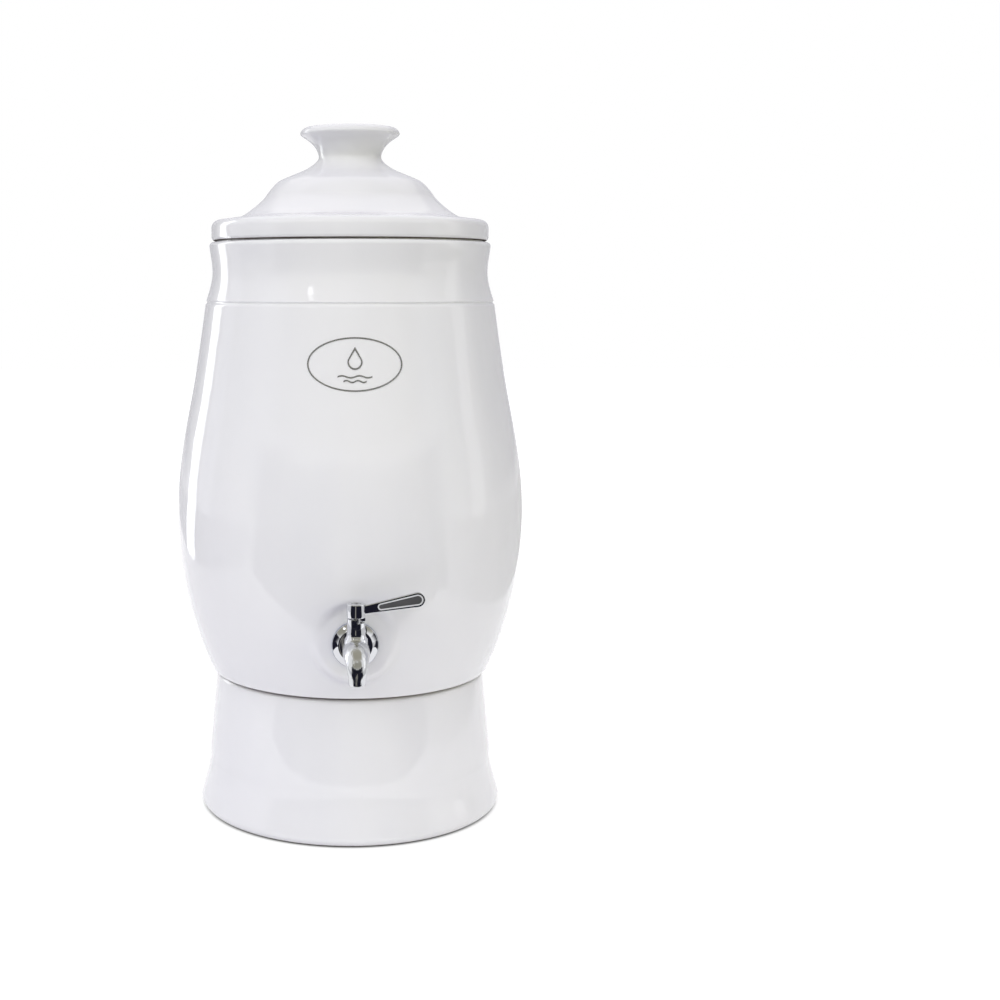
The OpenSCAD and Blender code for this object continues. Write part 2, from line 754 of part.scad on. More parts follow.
module tap_body() {
    boss_end = barrel_start + 3;
    narrowing = 4;       // length of each of the two steps from the boss to the barrel
    barrel_end = bend_start + 0.3;
    collar_w = 1.6;      // how much wider the neck is where it meets the barrel
    collar_h = 3;
    color("silver") difference() {
        union() {
            on_tap() rotate_extrude() polygon([
                [0, barrel_start], [boss_r, barrel_start], [boss_r - 0.3, boss_end],
                [barrel_r + 0.5, boss_end + narrowing], [barrel_r, boss_end + 2 * narrowing],
                [barrel_r, barrel_end], [0, barrel_end],
            ]);
            translate([0, -seat_y, tap_z]) spout_skin();
            on_hub() cylinder(r = tap_neck_r, h = tap_neck_h);
            on_hub() translate([0, 0, barrel_r - 1])
                cylinder(r1 = tap_neck_r + collar_w, r2 = tap_neck_r, h = collar_h);
        }
        // socket for the shank and the cavity of the ball valve
        on_tap() cylinder_from(socket_r + run, barrel_start - 1, socket_end);
        on_tap() cylinder_from(cavity_r, socket_end - eps, bend_start);
        // waterway of the spout and its outlet
        translate([0, -seat_y - bend_start + eps, tap_z - spout_bend]) rotate([0, -90, 0]) rotate([0, 0, 180])
            rotate_extrude(angle = 90) translate([spout_bend, 0]) circle(r = spout_bore_r);
        translate([0, -seat_y - bend_start - spout_bend, tap_z - spout_drop - 1])
            cylinder(r = outlet_r, h = spout_straight + 1);
        // bore of the stem with its counterbore, and the notch that stops the lever
        on_hub() cylinder(r = stem_post_r + run, h = tap_neck_h + 1);
        on_hub() cylinder(r = stem_shoulder_r + run, h = stem_shoulder_z + run);
        on_hub() translate([0, 0, tap_neck_h - notch_d]) rotate([0, 0, lug_at - lever_turn - lug_a - 2])
            rotate_extrude(angle = lever_turn + 2 * lug_a + 4)
                translate([lug_r - 4 * run, 0]) square([tap_neck_r, notch_d + 1]);
    }
}

module tap_shank() {
    color("silver") on_tap() difference() {
        union() {
            threaded_rod(shank_r, -shank_tail, barrel_start - tap_flange_t, 1.5, 0.7);
            cylinder_from(shank_r, -1, barrel_start);
            cylinder_from(socket_r, barrel_start - eps, socket_end);
        }
        cylinder_from(shank_bore_r, -shank_tail - 1, socket_end + 1);
    }
}

module tap_rear_washer() {
    color("lightgray") on_tap() ring(inner_seat_r - 3, shank_r + fit, -seat_wall - rear_washer_t, -seat_wall);
}

module tap_nut() {
    back = -seat_wall - rear_washer_t - tap_nut_t;
    collar_h = 1.5;
    color("silver") on_tap() difference() {
        union() {
            translate([0, 0, back]) cylinder(r = tap_nut_r, h = tap_nut_t, $fn = 6);
            translate([0, 0, back + tap_nut_t - collar_h]) cylinder(r = tap_nut_r + 0.4, h = collar_h);
        }
        translate([0, 0, back - 1]) cylinder(r = shank_r + run, h = tap_nut_t + 2);
    }
}

// A ring that seals on the ball valve, between two distances from the seat
module valve_seat(from, to) {
    color("white") on_tap() difference() {
        ring(cavity_r - run, valve_bore_r + hole_gap, from, to);
        translate([0, 0, hub_reach]) sphere(r = valve_r + run);
    }
}

module rear_valve_seat() {
    valve_seat(socket_end, hub_reach - valve_seat_gap);
}

module front_valve_seat() {
    valve_seat(hub_reach + valve_seat_gap, bend_start);
}

module ball_valve() {
    color("silver") on_hub() difference() {
        sphere(r = valve_r);
        translate([-valve_r - 1, 0, 0]) rotate([0, 90, 0]) cylinder(r = valve_bore_r, h = 2 * valve_r + 2);
        translate([-valve_r, -tang_w / 2 - 2 * run, tang_bottom - 2 * run])
            cube([2 * valve_r, tang_w + 4 * run, valve_r]);
    }
}

module valve_stem() {
    shoulder_low = cavity_r + 2 * run;             // clear of the valve's seats
    color("silver") on_hub() difference() {
        union() {
            cylinder_from(stem_shoulder_r, shoulder_low, stem_shoulder_z);
            cylinder_from(stem_post_r, stem_shoulder_z - eps, hub_z);
            translate([-drive_w / 2, -drive_w / 2, hub_z - eps]) cube([drive_w, drive_w, drive_h]);
            translate([-tang_l / 2, -tang_w / 2, tang_bottom])
                cube([tang_l, tang_w, shoulder_low - tang_bottom + eps]);
        }
        for (z = o_ring_z) ring(stem_post_r + 1, o_groove_r, z - o_ring_t - run, z + o_ring_t + run);
        cylinder_from(screw_r + run, hub_z + drive_h - 6, hub_z + drive_h + 1);
    }
}

module stem_o_rings() {
    color("dimgray") on_hub() for (z = o_ring_z)
        translate([0, 0, z]) rotate_extrude()
            translate([o_groove_r + o_ring_t, 0]) circle(r = o_ring_t, $fn = 24);
}

// Outline round two circles of different radius and the lines that touch both
module tapered_bar(x0, r0, x1, r1) {
    a = asin((r1 - r0) / (x1 - x0));
    polygon(concat(arc([x1, 0], r1, -90 - a, 90 + a, 16), arc([x0, 0], r0, 90 + a, 270 - a, 12)));
}

// Places its children in the lever's plane: x along the lever, y up, z towards the front
module on_lever(y) {
    on_hub() translate([0, y, lever_mid]) rotate([0, -lever_rise, 0]) rotate([90, 0, 0]) children();
}

module pocket(gap) {
    end = lever_end_r - pocket_edge;
    start = lever_root_r + (lever_end_r - lever_root_r) * pocket_x / lever_reach - pocket_edge + 0.2;
    tapered_bar(pocket_x, start - gap, lever_reach, end - gap);
}

module lever() {
    color("silver") difference() {
        union() {
            on_hub() rotate_extrude() polygon([
                [0, hub_z], [hub_r, hub_z], [hub_r, hub_z + hub_h - 0.8],
                [hub_r - 0.8, hub_z + hub_h], [0, hub_z + hub_h],
            ]);
            on_lever(lever_t / 2) linear_extrude(lever_t)
                tapered_bar(0.5, lever_root_r, lever_reach, lever_end_r);
            // stop lug
            on_hub() translate([0, 0, hub_z - hub_gap - notch_d + 0.4]) rotate([0, 0, lug_at - lug_a])
                rotate_extrude(angle = 2 * lug_a) translate([lug_r, 0])
                    square([tap_neck_r - lug_r, notch_d + hub_gap]);
        }
        on_hub() translate([-drive_w / 2 - run, -drive_w / 2 - run, hub_z - 1])
            cube([drive_w + 2 * run, drive_w + 2 * run, drive_h + 1.3]);
        on_hub() cylinder_from(screw_r + 2 * run, hub_z + 1, hub_z + hub_h + 1);
        on_hub() cylinder_from(screw_head_r + fit, hub_z + hub_h - screw_sink, hub_z + hub_h + 1);
        on_lever(-lever_t / 2 + pocket_d) linear_extrude(pocket_d + 1) pocket(0);
    }
}

module lever_inlay() {
    color("dimgray") on_lever(-lever_t / 2 + pocket_d) linear_extrude(pocket_d - 0.15) pocket(run);
}

module lever_screw() {
    head = hub_z + hub_h - screw_sink;
    head_h = 1.2;
    color("silver") on_hub() difference() {
        union() {
            cylinder_from(screw_head_r, head, head + head_h);
            cylinder_from(screw_r, head - 5.5, head + eps);
        }
        translate([0, 0, head + head_h - 0.7]) cylinder(r = 1.3, h = 2, $fn = 6);
    }
}

stand();
crock();
crock_floor();
badge();
lid();
upper_chamber();
dome_seal();
dome_plate();
ceramic_dome();
stem_washer();
stem_nut();
cartridge_seal();
cartridge_cap();
cartridge_sleeve();
cartridge_basket();
filter_pads();
carbon_bed();
zeolite_bed();
silica_sand_bed();
mineral_balls();
tap_front_washer();
tap_flange();
tap_body();
tap_shank();
tap_rear_washer();
tap_nut();
rear_valve_seat();
front_valve_seat();
ball_valve();
valve_stem();
stem_o_rings();
lever();
lever_inlay();
lever_screw();
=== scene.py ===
import math

import bmesh
import bpy
import numpy as np
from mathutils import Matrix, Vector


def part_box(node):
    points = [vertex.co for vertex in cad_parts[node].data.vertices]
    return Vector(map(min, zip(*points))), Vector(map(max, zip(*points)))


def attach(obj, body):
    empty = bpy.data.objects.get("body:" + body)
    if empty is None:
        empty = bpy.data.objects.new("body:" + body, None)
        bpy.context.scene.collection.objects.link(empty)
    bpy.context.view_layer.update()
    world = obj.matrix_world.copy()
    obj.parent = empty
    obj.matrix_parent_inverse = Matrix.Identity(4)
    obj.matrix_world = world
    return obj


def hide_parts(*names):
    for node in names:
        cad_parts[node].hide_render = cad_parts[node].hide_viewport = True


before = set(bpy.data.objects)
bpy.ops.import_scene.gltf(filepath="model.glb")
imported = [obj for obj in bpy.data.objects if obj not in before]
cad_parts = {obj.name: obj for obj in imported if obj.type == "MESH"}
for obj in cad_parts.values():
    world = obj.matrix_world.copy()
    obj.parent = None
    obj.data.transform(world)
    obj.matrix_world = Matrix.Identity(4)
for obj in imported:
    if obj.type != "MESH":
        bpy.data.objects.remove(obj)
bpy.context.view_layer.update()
print("frame loaded:", len(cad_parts), "nodes")

mm = 0.001


def lowest(node):
    # the node's least x, y and z in millimetres
    return np.array(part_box(node)[0]) / mm


def highest(node):
    # the node's greatest x, y and z in millimetres
    return np.array(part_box(node)[1]) / mm


def cubic(a, b, slopeA, slopeB, t):
    # a·(2t³−3t²+1) + slopeA·(t³−2t²+t) + b·(3t²−2t³) + slopeB·(t³−t²)
    return ((2 * t**3 - 3 * t**2 + 1) * a + (t**3 - 2 * t**2 + t) * slopeA
            + (3 * t**2 - 2 * t**3) * b + (t**3 - t**2) * slopeB)


def radiusAt(knots, heights):
    # knots are (height, radius, slope); between two neighbours the radius is the cubic above
    knots, heights = np.asarray(knots, float), np.asarray(heights, float)
    i = np.clip(np.searchsorted(knots[:, 0], heights, side="right") - 1, 0, len(knots) - 2)
    w = knots[i + 1, 0] - knots[i, 0]
    t = (heights - knots[i, 0]) / w
    return cubic(knots[i, 1], knots[i + 1, 1], knots[i, 2] * w, knots[i + 1, 2] * w, t)


def side(knots, low, high, count, offset=0.0):
    # points (radius + offset, height) of a profile at evenly spaced heights
    h = np.linspace(low, high, count)
    return np.column_stack([radiusAt(knots, h) + offset, h])


def arc(centre, radius, start, end, count=9):
    # centre + radius·(cos a, sin a), a from start to end in degrees
    a = np.radians(np.linspace(start, end, count))
    return np.column_stack([centre[0] + radius * np.cos(a), centre[1] + radius * np.sin(a)])


def pathThrough(knots, count=14):
    # smooth outline through (radius, height, tangent radius, tangent height) knots
    t = np.linspace(0, 1, count, endpoint=False)[:, None]
    k = np.asarray(knots, float)
    pieces = [cubic(a[:2], b[:2], a[2:], b[2:], t) for a, b in zip(k[:-1], k[1:])]
    return np.vstack(pieces + [k[-1:, :2]])


def line(*points, step=4.0):
    # straight stretches with a point every few millimetres, ends kept
    p = np.asarray(points, float)
    out = [p[:1]]
    for a, b in zip(p[:-1], p[1:]):
        n = max(2, int(np.linalg.norm(b - a) / step) + 1)
        out.append(a + (b - a) * np.linspace(0, 1, n)[1:, None])
    return np.vstack(out)


def smoothStep(t):
    # 3t² − 2t³ on 0…1
    t = np.clip(t, 0, 1)
    return t * t * (3 - 2 * t)


def gridObject(name, points, wrapRows=False, wrapColumns=True, sharp=32):
    # a quad between neighbours of a rows × columns grid; wrapping joins the last to the first
    rows, columns = points.shape[:2]
    r = np.arange(rows if wrapRows else rows - 1)[:, None]
    c = np.arange(columns if wrapColumns else columns - 1)[None, :]
    r1, c1 = (r + 1) % rows, (c + 1) % columns
    quads = np.stack([r * columns + c, r * columns + c1, r1 * columns + c1, r1 * columns + c], axis=-1)
    mesh = bpy.data.meshes.new(name)
    mesh.from_pydata((points.reshape(-1, 3) * mm).tolist(), [], quads.reshape(-1, 4).tolist())
    bm = bmesh.new()
    bm.from_mesh(mesh)
    bmesh.ops.remove_doubles(bm, verts=bm.verts, dist=2e-7)
    bmesh.ops.dissolve_degenerate(bm, edges=bm.edges, dist=1e-7)
    if bm.calc_volume(signed=True) < 0:  # faces point outwards
        bmesh.ops.reverse_faces(bm, faces=bm.faces)
    bm.to_mesh(mesh)
    bm.free()
    mesh.shade_smooth()
    mesh.set_sharp_from_angle(angle=math.radians(sharp))
    piece = bpy.data.objects.new(name, mesh)
    bpy.context.scene.collection.objects.link(piece)
    return piece


def turned(outline, angles):
    # (radius, height) outline turned about Z: (r·cos a, r·sin a, z)
    r, z = outline[:, 0][:, None], outline[:, 1][:, None]
    return np.stack([r * np.cos(angles), r * np.sin(angles), z + 0 * angles], axis=-1)


def evenAngles(count):
    # a row of angles a = 2π·i / count
    return np.linspace(0, 2 * np.pi, count, endpoint=False)[None, :]


def frontAngles(count, crowd=0.55):
    # angles crowded towards −Y: a = −90° + u − crowd·sin u
    u = evenAngles(count)
    return -np.pi / 2 + u - crowd * np.sin(u)


def dress(piece, body, paint, slot, *nodes):
    # gives a finished piece its material and its body, and hides the nodes it stands for
    piece.data.materials.clear()
    piece.data.materials.append(paint)
    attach(piece, body)
    if nodes:
        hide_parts(*nodes)
    print("made", piece.name, len(piece.data.polygons), "faces")


def newMaterial(name):
    # a new material and its Principled shader
    paint = bpy.data.materials.new(name)
    paint.use_nodes = True
    return paint, paint.node_tree.nodes["Principled BSDF"]


def newNode(beside, kind):
    # a node of a kind in the same tree as another node or socket
    return beside.id_data.nodes.new(kind)


def fed(node, values):
    # each input of a node gets its value, or a link where the value is another node's socket
    for key, value in values.items():
        if isinstance(value, bpy.types.NodeSocket):
            node.id_data.links.new(value, node.inputs[key])
        else:
            node.inputs[key].default_value = value
    return node


def objectPoint(beside, scale=(1, 1, 1)):
    # the point in Object coordinates, stretched by a Mapping node
    where = newNode(beside, "ShaderNodeTexCoord")
    mapping = newNode(beside, "ShaderNodeMapping")
    return fed(mapping, {"Vector": where.outputs["Object"], "Scale": scale}).outputs["Vector"]


def noise(point, scale, detail=3.0, roughness=0.5):
    # a noise from 0 to 1, with scale cells in a metre
    node = newNode(point, "ShaderNodeTexNoise")
    fed(node, {"Vector": point, "Scale": scale, "Detail": detail, "Roughness": roughness})
    return node.outputs["Fac"]


def cells(point, scale):
    # Voronoi cells: the distance to the nearest centre, and three random values of its cell
    node = fed(newNode(point, "ShaderNodeTexVoronoi"), {"Vector": point, "Scale": scale})
    split = fed(newNode(point, "ShaderNodeSeparateColor"), {"Color": node.outputs["Color"]})
    return node.outputs["Distance"], split.outputs


def attribute(beside, name):
    # the value of the piece's own attribute
    node = newNode(beside, "ShaderNodeAttribute")
    node.attribute_name = name
    return node.outputs["Fac"]


def ramp(value, stops):
    # a colour ramp through (position, colour) stops
    node = newNode(value, "ShaderNodeValToRGB")
    bar = node.color_ramp.elements
    bar[0].position, bar[1].position = stops[0][0], stops[-1][0]
    bar[0].color, bar[1].color = (*stops[0][1], 1), (*stops[-1][1], 1)
    for position, colour in stops[1:-1]:
        bar.new(position).color = (*colour, 1)
    return fed(node, {"Fac": value}).outputs["Color"]


noiseSpan = (0.3, 0.7)  # most values of a noise lie between these


def twoTones(value, shade, colour):
    # shade where a noise is low, colour where it is high
    return ramp(value, [(noiseSpan[0], shade), (noiseSpan[1], colour)])


def darker(colour, share):
    # share·colour, channel by channel
    return tuple(share * channel for channel in colour)


def spread(value, low, high, fromLow=0.0, fromHigh=1.0):
    # value moved from one range to another
    limits = {"From Min": fromLow, "From Max": fromHigh, "To Min": low, "To Max": high}
    return fed(newNode(value, "ShaderNodeMapRange"), {"Value": value, **limits}).outputs["Result"]


def bump(height, strength, distance, under=None):
    # a normal tipped by the slope of height·distance, on top of the normal that lies under it
    values = {"Height": height, "Strength": strength, "Distance": distance}
    if under is not None:
        values["Normal"] = under
    return fed(newNode(height, "ShaderNodeBump"), values).outputs["Normal"]


def combined(operation, *values):
    # one Math node over its values, the first of which is a socket
    node = newNode(values[0], "ShaderNodeMath")
    node.operation = operation
    return fed(node, dict(enumerate(values))).outputs["Value"]


def mixed(kind, share, first, second):
    # first·(1 − share) + second·share
    node = newNode(share, "ShaderNodeMix")
    node.data_type = kind
    return fed(node, {"Factor": share, "A": first, "B": second}).outputs["Result"]


glaze = dict(
    pale=(0.805, 0.805, 0.822), deep=(0.780, 0.783, 0.808), deepAt=0.32, paleAt=0.62,
    cloudScale=14.0, cloudStretch=0.35, waveScale=16.0, rippleScale=60.0, throwScale=70.0,
    throwStretch=0.12, peelScale=420.0, glossScale=30.0, roughLow=0.03, roughHigh=0.07,
    speck=(0.30, 0.29, 0.28), speckScale=62.0, speckInner=0.02, speckOuter=0.045,
    speckFew=0.955, speckFewer=0.965, coat=0.25, coatRough=0.03, ior=1.52,
    # the clay is dark enough to paint the shade in the seams as well as the bare clay
    clayWithSeamShade=(0.13, 0.095, 0.075), clayShade=0.7, clayScale=900.0, clayRough=0.85,
    wave=(0.5, 0.0022), ripple=(0.4, 0.0004), throw=(0.35, 0.0004),  # strength, depth in metres
    peel=(0.12, 0.0001), pit=(-0.6, 0.0003),
    wipedEdge=0.4,  # millimetres over which the glaze thins out beside bare clay
)


def glazePaint():
    # two close whites in slow clouds with a few dark pinholes, a coat, and reliefs one over the other
    paint, shader = newMaterial("whiteGlaze")
    point = objectPoint(shader)
    cloud = noise(objectPoint(shader, (1, 1, glaze["cloudStretch"])), glaze["cloudScale"])
    tone = ramp(cloud, [(glaze["deepAt"], glaze["deep"]), (glaze["paleAt"], glaze["pale"])])
    # pinholes: small dots where a Voronoi cell's centre is near and the cell is one of a few
    distance, random = cells(point, glaze["speckScale"])
    near = spread(distance, 1.0, 0.0, glaze["speckInner"], glaze["speckOuter"])
    few = spread(random["Red"], 0.0, 1.0, glaze["speckFew"], glaze["speckFewer"])
    pinhole = combined("MULTIPLY", near, few)
    dotted = mixed("RGBA", pinhole, tone, (*glaze["speck"], 1))
    # dark bare clay that also paints the shade in the seams, where the piece's own attribute says that the
    # glaze was wiped off
    bareAndShaded = attribute(shader, "bareAndShaded")
    grit = noise(point, glaze["clayScale"], 4.0)
    clayWithSeamShade = twoTones(grit, darker(glaze["clayWithSeamShade"], glaze["clayShade"]), glaze["clayWithSeamShade"])
    gloss = spread(noise(point, glaze["glossScale"]), glaze["roughLow"], glaze["roughHigh"], *noiseSpan)
    # slow waves, ripples, faint throwing rings round the pot, orange peel and the pinholes' pits
    level = objectPoint(shader, (glaze["throwStretch"], glaze["throwStretch"], 1.0))
    reliefs = {
        "wave": noise(point, glaze["waveScale"], 1.0),
        "ripple": noise(point, glaze["rippleScale"], 2.0),
        "throw": noise(level, glaze["throwScale"], 2.0),
        "peel": noise(point, glaze["peelScale"], 2.0),
        "pit": pinhole,
    }
    skin = None
    for relief, height in reliefs.items():
        skin = bump(height, *glaze[relief], skin)
    fed(shader, {
        "Base Color": mixed("RGBA", bareAndShaded, dotted, clayWithSeamShade),
        "Roughness": mixed("FLOAT", bareAndShaded, gloss, glaze["clayRough"]), "Normal": skin,
        "Coat Weight": spread(bareAndShaded, glaze["coat"], 0.0), "Coat Roughness": glaze["coatRough"],
        "IOR": glaze["ior"],
    })
    return paint


metal = dict(shade=0.93, cloudScale=90.0, cloudBump=(0.25, 0.0003), markStrength=0.25)


def metalPaint(name, colour, roughLow, roughHigh, grain=(1, 1, 1), scale=260.0, depth=0.00004):
    # metal in soft clouds, with fine polishing marks stretched along an axis by grain
    paint, shader = newMaterial(name)
    marks = noise(objectPoint(shader, grain), scale, 4.0, 0.6)
    cloud = noise(objectPoint(shader), metal["cloudScale"], 2.0)
    fed(shader, {
        "Base Color": twoTones(cloud, darker(colour, metal["shade"]), colour), "Metallic": 1.0,
        "Roughness": spread(marks, roughLow, roughHigh, *noiseSpan),
        "Normal": bump(marks, metal["markStrength"], depth, bump(cloud, *metal["cloudBump"])),
    })
    return paint


plastic = dict(cloudScale=35.0, roughSpread=0.2, grainStrength=0.3)


def plasticPaint(name, colour, shade, roughness, scale=300.0, depth=0.00005, coat=0.0):
    # moulded plastic or rubber: two close tones in soft clouds under a fine moulded grain
    paint, shader = newMaterial(name)
    point = objectPoint(shader)
    grain = noise(point, scale)
    smooth, dull = roughness * (1 - plastic["roughSpread"]), roughness * (1 + plastic["roughSpread"])
    fed(shader, {
        "Base Color": twoTones(noise(point, plastic["cloudScale"]), shade, colour),
        "Roughness": spread(grain, smooth, dull, *noiseSpan),
        "Normal": bump(grain, plastic["grainStrength"], depth), "Coat Weight": coat,
    })
    return paint


glassy = dict(
    tone=(0.90, 0.95, 0.98), ior=1.49, flowStretch=0.2, flowScale=60.0, roughLow=0.02, roughHigh=0.08,
    flowBump=(0.15, 0.0002),
)


def clearPaint():
    # clear moulded plastic with faint upright flow marks
    paint, shader = newMaterial("clearPlastic")
    flow = noise(objectPoint(shader, (1, 1, glassy["flowStretch"])), glassy["flowScale"], 2.0)
    fed(shader, {
        "Base Color": (*glassy["tone"], 1), "Transmission Weight": 1.0, "IOR": glassy["ior"],
        "Roughness": spread(flow, glassy["roughLow"], glassy["roughHigh"], *noiseSpan),
        "Normal": bump(flow, *glassy["flowBump"]),
    })
    return paint


grains = dict(roughRise=1.5, topWidth=0.8, topStrength=0.9)


def grainPaint(name, grainSize, colours, roughness, depth):
    # a packed bed of grains: each Voronoi cell is one grain with its own tone and a rounded top
    paint, shader = newMaterial(name)
    distance, random = cells(objectPoint(shader), 1.0 / (grainSize * mm))
    stops = [(i / (len(colours) - 1), c) for i, c in enumerate(colours)]
    top = spread(distance, 1.0, 0.0, 0.0, grains["topWidth"])
    fed(shader, {
        "Base Color": ramp(random["Green"], stops),
        "Roughness": spread(random["Blue"], roughness, min(1, roughness * grains["roughRise"])),
        "Normal": bump(top, grains["topStrength"], depth),
    })
    return paint


porous = dict(
    cloudScale=22.0, poreShare=0.5, shadeAt=0.3, colourAt=0.65, smoothAt=0.3, dullAt=0.8, poreStrength=0.5,
)


def porousPaint(name, colour, shade, poreScale, depth, roughness=0.75):
    # unglazed ceramic or pressed felt: fine pores and a slow change of tone,
    # poreShare·pores + (1 − poreShare)·cloud
    paint, shader = newMaterial(name)
    point = objectPoint(shader)
    pores = noise(point, poreScale, 5.0, 0.7)
    cloud = spread(noise(point, porous["cloudScale"]), 0.0, 1 - porous["poreShare"])
    both = combined("MULTIPLY_ADD", pores, porous["poreShare"], cloud)
    fed(shader, {
        "Base Color": ramp(both, [(porous["shadeAt"], shade), (porous["colourAt"], colour)]),
        "Roughness": spread(pores, roughness, 1.0, porous["smoothAt"], porous["dullAt"]),
        "Normal": bump(pores, porous["poreStrength"], depth),
    })
    return paint


whiteGlaze = glazePaint()
mirrorChrome = metalPaint("mirrorChrome", (0.74, 0.75, 0.78), 0.03, 0.09)
castChrome = metalPaint("castChrome", (0.70, 0.71, 0.73), 0.04, 0.12, grain=(1, 1, 0.2), scale=300.0,
                        depth=0.0016)
badgeChrome = metalPaint("badgeChrome", (0.50, 0.51, 0.54), 0.10, 0.22)
turnedSteel = metalPaint("turnedSteel", (0.56, 0.56, 0.57), 0.18, 0.34, grain=(1, 20, 1), scale=120.0,
                         depth=0.00008)
darkRubber = plasticPaint("darkRubber", (0.035, 0.035, 0.038), (0.024, 0.024, 0.026), 0.55)
greySilicone = plasticPaint("greySilicone", (0.30, 0.33, 0.42), (0.26, 0.29, 0.38), 0.35)
whitePlastic = plasticPaint("whitePlastic", (0.80, 0.80, 0.77), (0.76, 0.76, 0.73), 0.22, coat=0.2)
bluePlastic = plasticPaint("bluePlastic", (0.020, 0.085, 0.30), (0.018, 0.078, 0.28), 0.28, scale=1200.0,
                           depth=0.000006, coat=0.2)
satinInlay = plasticPaint("satinInlay", (0.085, 0.085, 0.090), (0.055, 0.055, 0.058), 0.42, scale=900.0,
                          depth=0.00008)
satinBead = plasticPaint("satinBead", (0.66, 0.67, 0.69), (0.52, 0.53, 0.55), 0.32, scale=700.0,
                         depth=0.00006)
slickSeat = plasticPaint("slickSeat", (0.82, 0.82, 0.82), (0.77, 0.77, 0.77), 0.30)
clearPlastic = clearPaint()
bareCeramic = porousPaint("bareCeramic", (0.80, 0.76, 0.68), (0.70, 0.66, 0.58), 500.0, 0.00012)
pressedFelt = porousPaint("pressedFelt", (0.84, 0.84, 0.81), (0.70, 0.70, 0.67), 800.0, 0.0003, 0.9)
carbonGrain = grainPaint("carbonGrain", 1.3, [(0.008, 0.008, 0.009), (0.025, 0.025, 0.027)], 0.45, 0.0006)
zeoliteGrain = grainPaint("zeoliteGrain", 2.2, [(0.20, 0.19, 0.13), (0.30, 0.28, 0.20), (0.42, 0.40, 0.31)],
                          0.7, 0.0009)
sandGrain = grainPaint("sandGrain", 0.8, [(0.50, 0.40, 0.26), (0.70, 0.60, 0.44), (0.82, 0.76, 0.64)],
                       0.6, 0.0004)
firedBall = porousPaint("firedBall", (0.42, 0.20, 0.11), (0.28, 0.13, 0.07), 600.0, 0.0002)
print("materials ready")
beyond = 1000.0  # millimetres, further than any piece reaches


def wipeGlazeAndShadeSeams(piece, *zones):
    # the attribute is 1 inside a zone (low z, high z, least radius, largest radius), and a smooth step
    # down to 0 over the glaze's edge outside it; there the glaze is bare and dark clay paints the seam shade
    flat = np.zeros(len(piece.data.vertices) * 3)
    piece.data.vertices.foreach_get("co", flat)
    x, y, z = flat.reshape(-1, 3).T / mm
    r = np.hypot(x, y)
    bareAndShaded = np.zeros_like(z)
    for low, high, least, most in zones:
        outside = np.maximum(np.maximum(low - z, z - high), np.maximum(least - r, r - most))
        bareAndShaded = np.maximum(bareAndShaded, 1 - smoothStep(outside / glaze["wipedEdge"]))
    piece.data.attributes.new("bareAndShaded", "FLOAT", "POINT").data.foreach_set("value", bareAndShaded)


standShape = dict(
    lipRadius=104.0, sideRadius=110.2, ridgeRadius=109.5, ridgeHeight=42.0, ridgeWidth=8.0, ridgeRise=0.3,
    footRadius=117.0, footRound=6.0, flareHeight=34.0, lipRound=4.0, wall=8.0,
    recessRadius=94.5, recessDepth=6.0, recessRound=1.2, deck=8.0, deckChamfer=2.5,
    holeRadius=55.0, holeRound=1.5, contact=6.0, boreHeight=8.0, boreChamfer=1.0,
    bareShadedFoot=1.0, bareShadedLip=0.4, bareShadedRadius=103.0,
)


def standOutline(s, top):
    # (radius, height): the foot's flare, the side with its faint ridge, the lip, the recess, the deck
    # and the inside; slopes are radius over height, and the small steps keep stretches apart
    foot = [(s["footRound"], s["footRadius"], -0.24), (s["flareHeight"], s["sideRadius"], -0.1)]
    lipLow = top - s["lipRound"]
    wall = [
        (s["flareHeight"], s["sideRadius"], -0.1),
        (s["ridgeHeight"] - s["ridgeWidth"] / 2, s["sideRadius"] - s["ridgeRise"], -0.02),
        (s["ridgeHeight"] + s["ridgeWidth"] / 2, s["ridgeRadius"], -0.09),
        (lipLow, s["lipRadius"], -0.09),
    ]
    deckTop = top - s["recessDepth"]
    ceiling = deckTop - s["deck"]
    bore = s["footRadius"] - s["footRound"] - s["contact"]
    innerLip = s["lipRadius"] - s["wall"]
    recess, hole = s["recessRound"], s["holeRound"]
    return np.vstack([
        arc((s["footRadius"] - s["footRound"], s["footRound"]), s["footRound"], -90, 0),
        side(foot, s["footRound"] + 1, s["flareHeight"] - 0.6, 18),
        side(wall, s["flareHeight"] + 0.6, lipLow - 1, 70),
        arc((s["lipRadius"] - s["lipRound"], lipLow), s["lipRound"], 0, 90),
        arc((s["recessRadius"] + recess, top - recess), recess, 90, 180, 5),
        line((s["recessRadius"], top - recess - 0.8), (s["recessRadius"], deckTop),
             (s["holeRadius"] + hole - 0.5, deckTop)),
        arc((s["holeRadius"] + hole, deckTop - hole), hole, 90, 180, 5),
        line((s["holeRadius"], deckTop - hole - 0.5), (s["holeRadius"], ceiling),
             (innerLip - s["deckChamfer"], ceiling)),
        line((innerLip, ceiling - s["deckChamfer"]), (s["sideRadius"] - s["wall"], s["flareHeight"]),
             (bore, s["boreHeight"]), (bore, s["boreChamfer"]), (bore + s["boreChamfer"], 0.0)),
    ])


standTop = highest("stand")[2]
standPath = standOutline(standShape, standTop)
stand = gridObject("standShell", turned(standPath, evenAngles(256)), wrapRows=True)
# the stand's underside and the top of its lip under the crock: bare clay with painted seam shade
wipeGlazeAndShadeSeams(stand, (-beyond, standShape["bareShadedFoot"], 0, beyond),
          (standTop - standShape["bareShadedLip"], beyond, 0, standShape["bareShadedRadius"]))
dress(stand, "stand", whiteGlaze, "glaze", "stand")

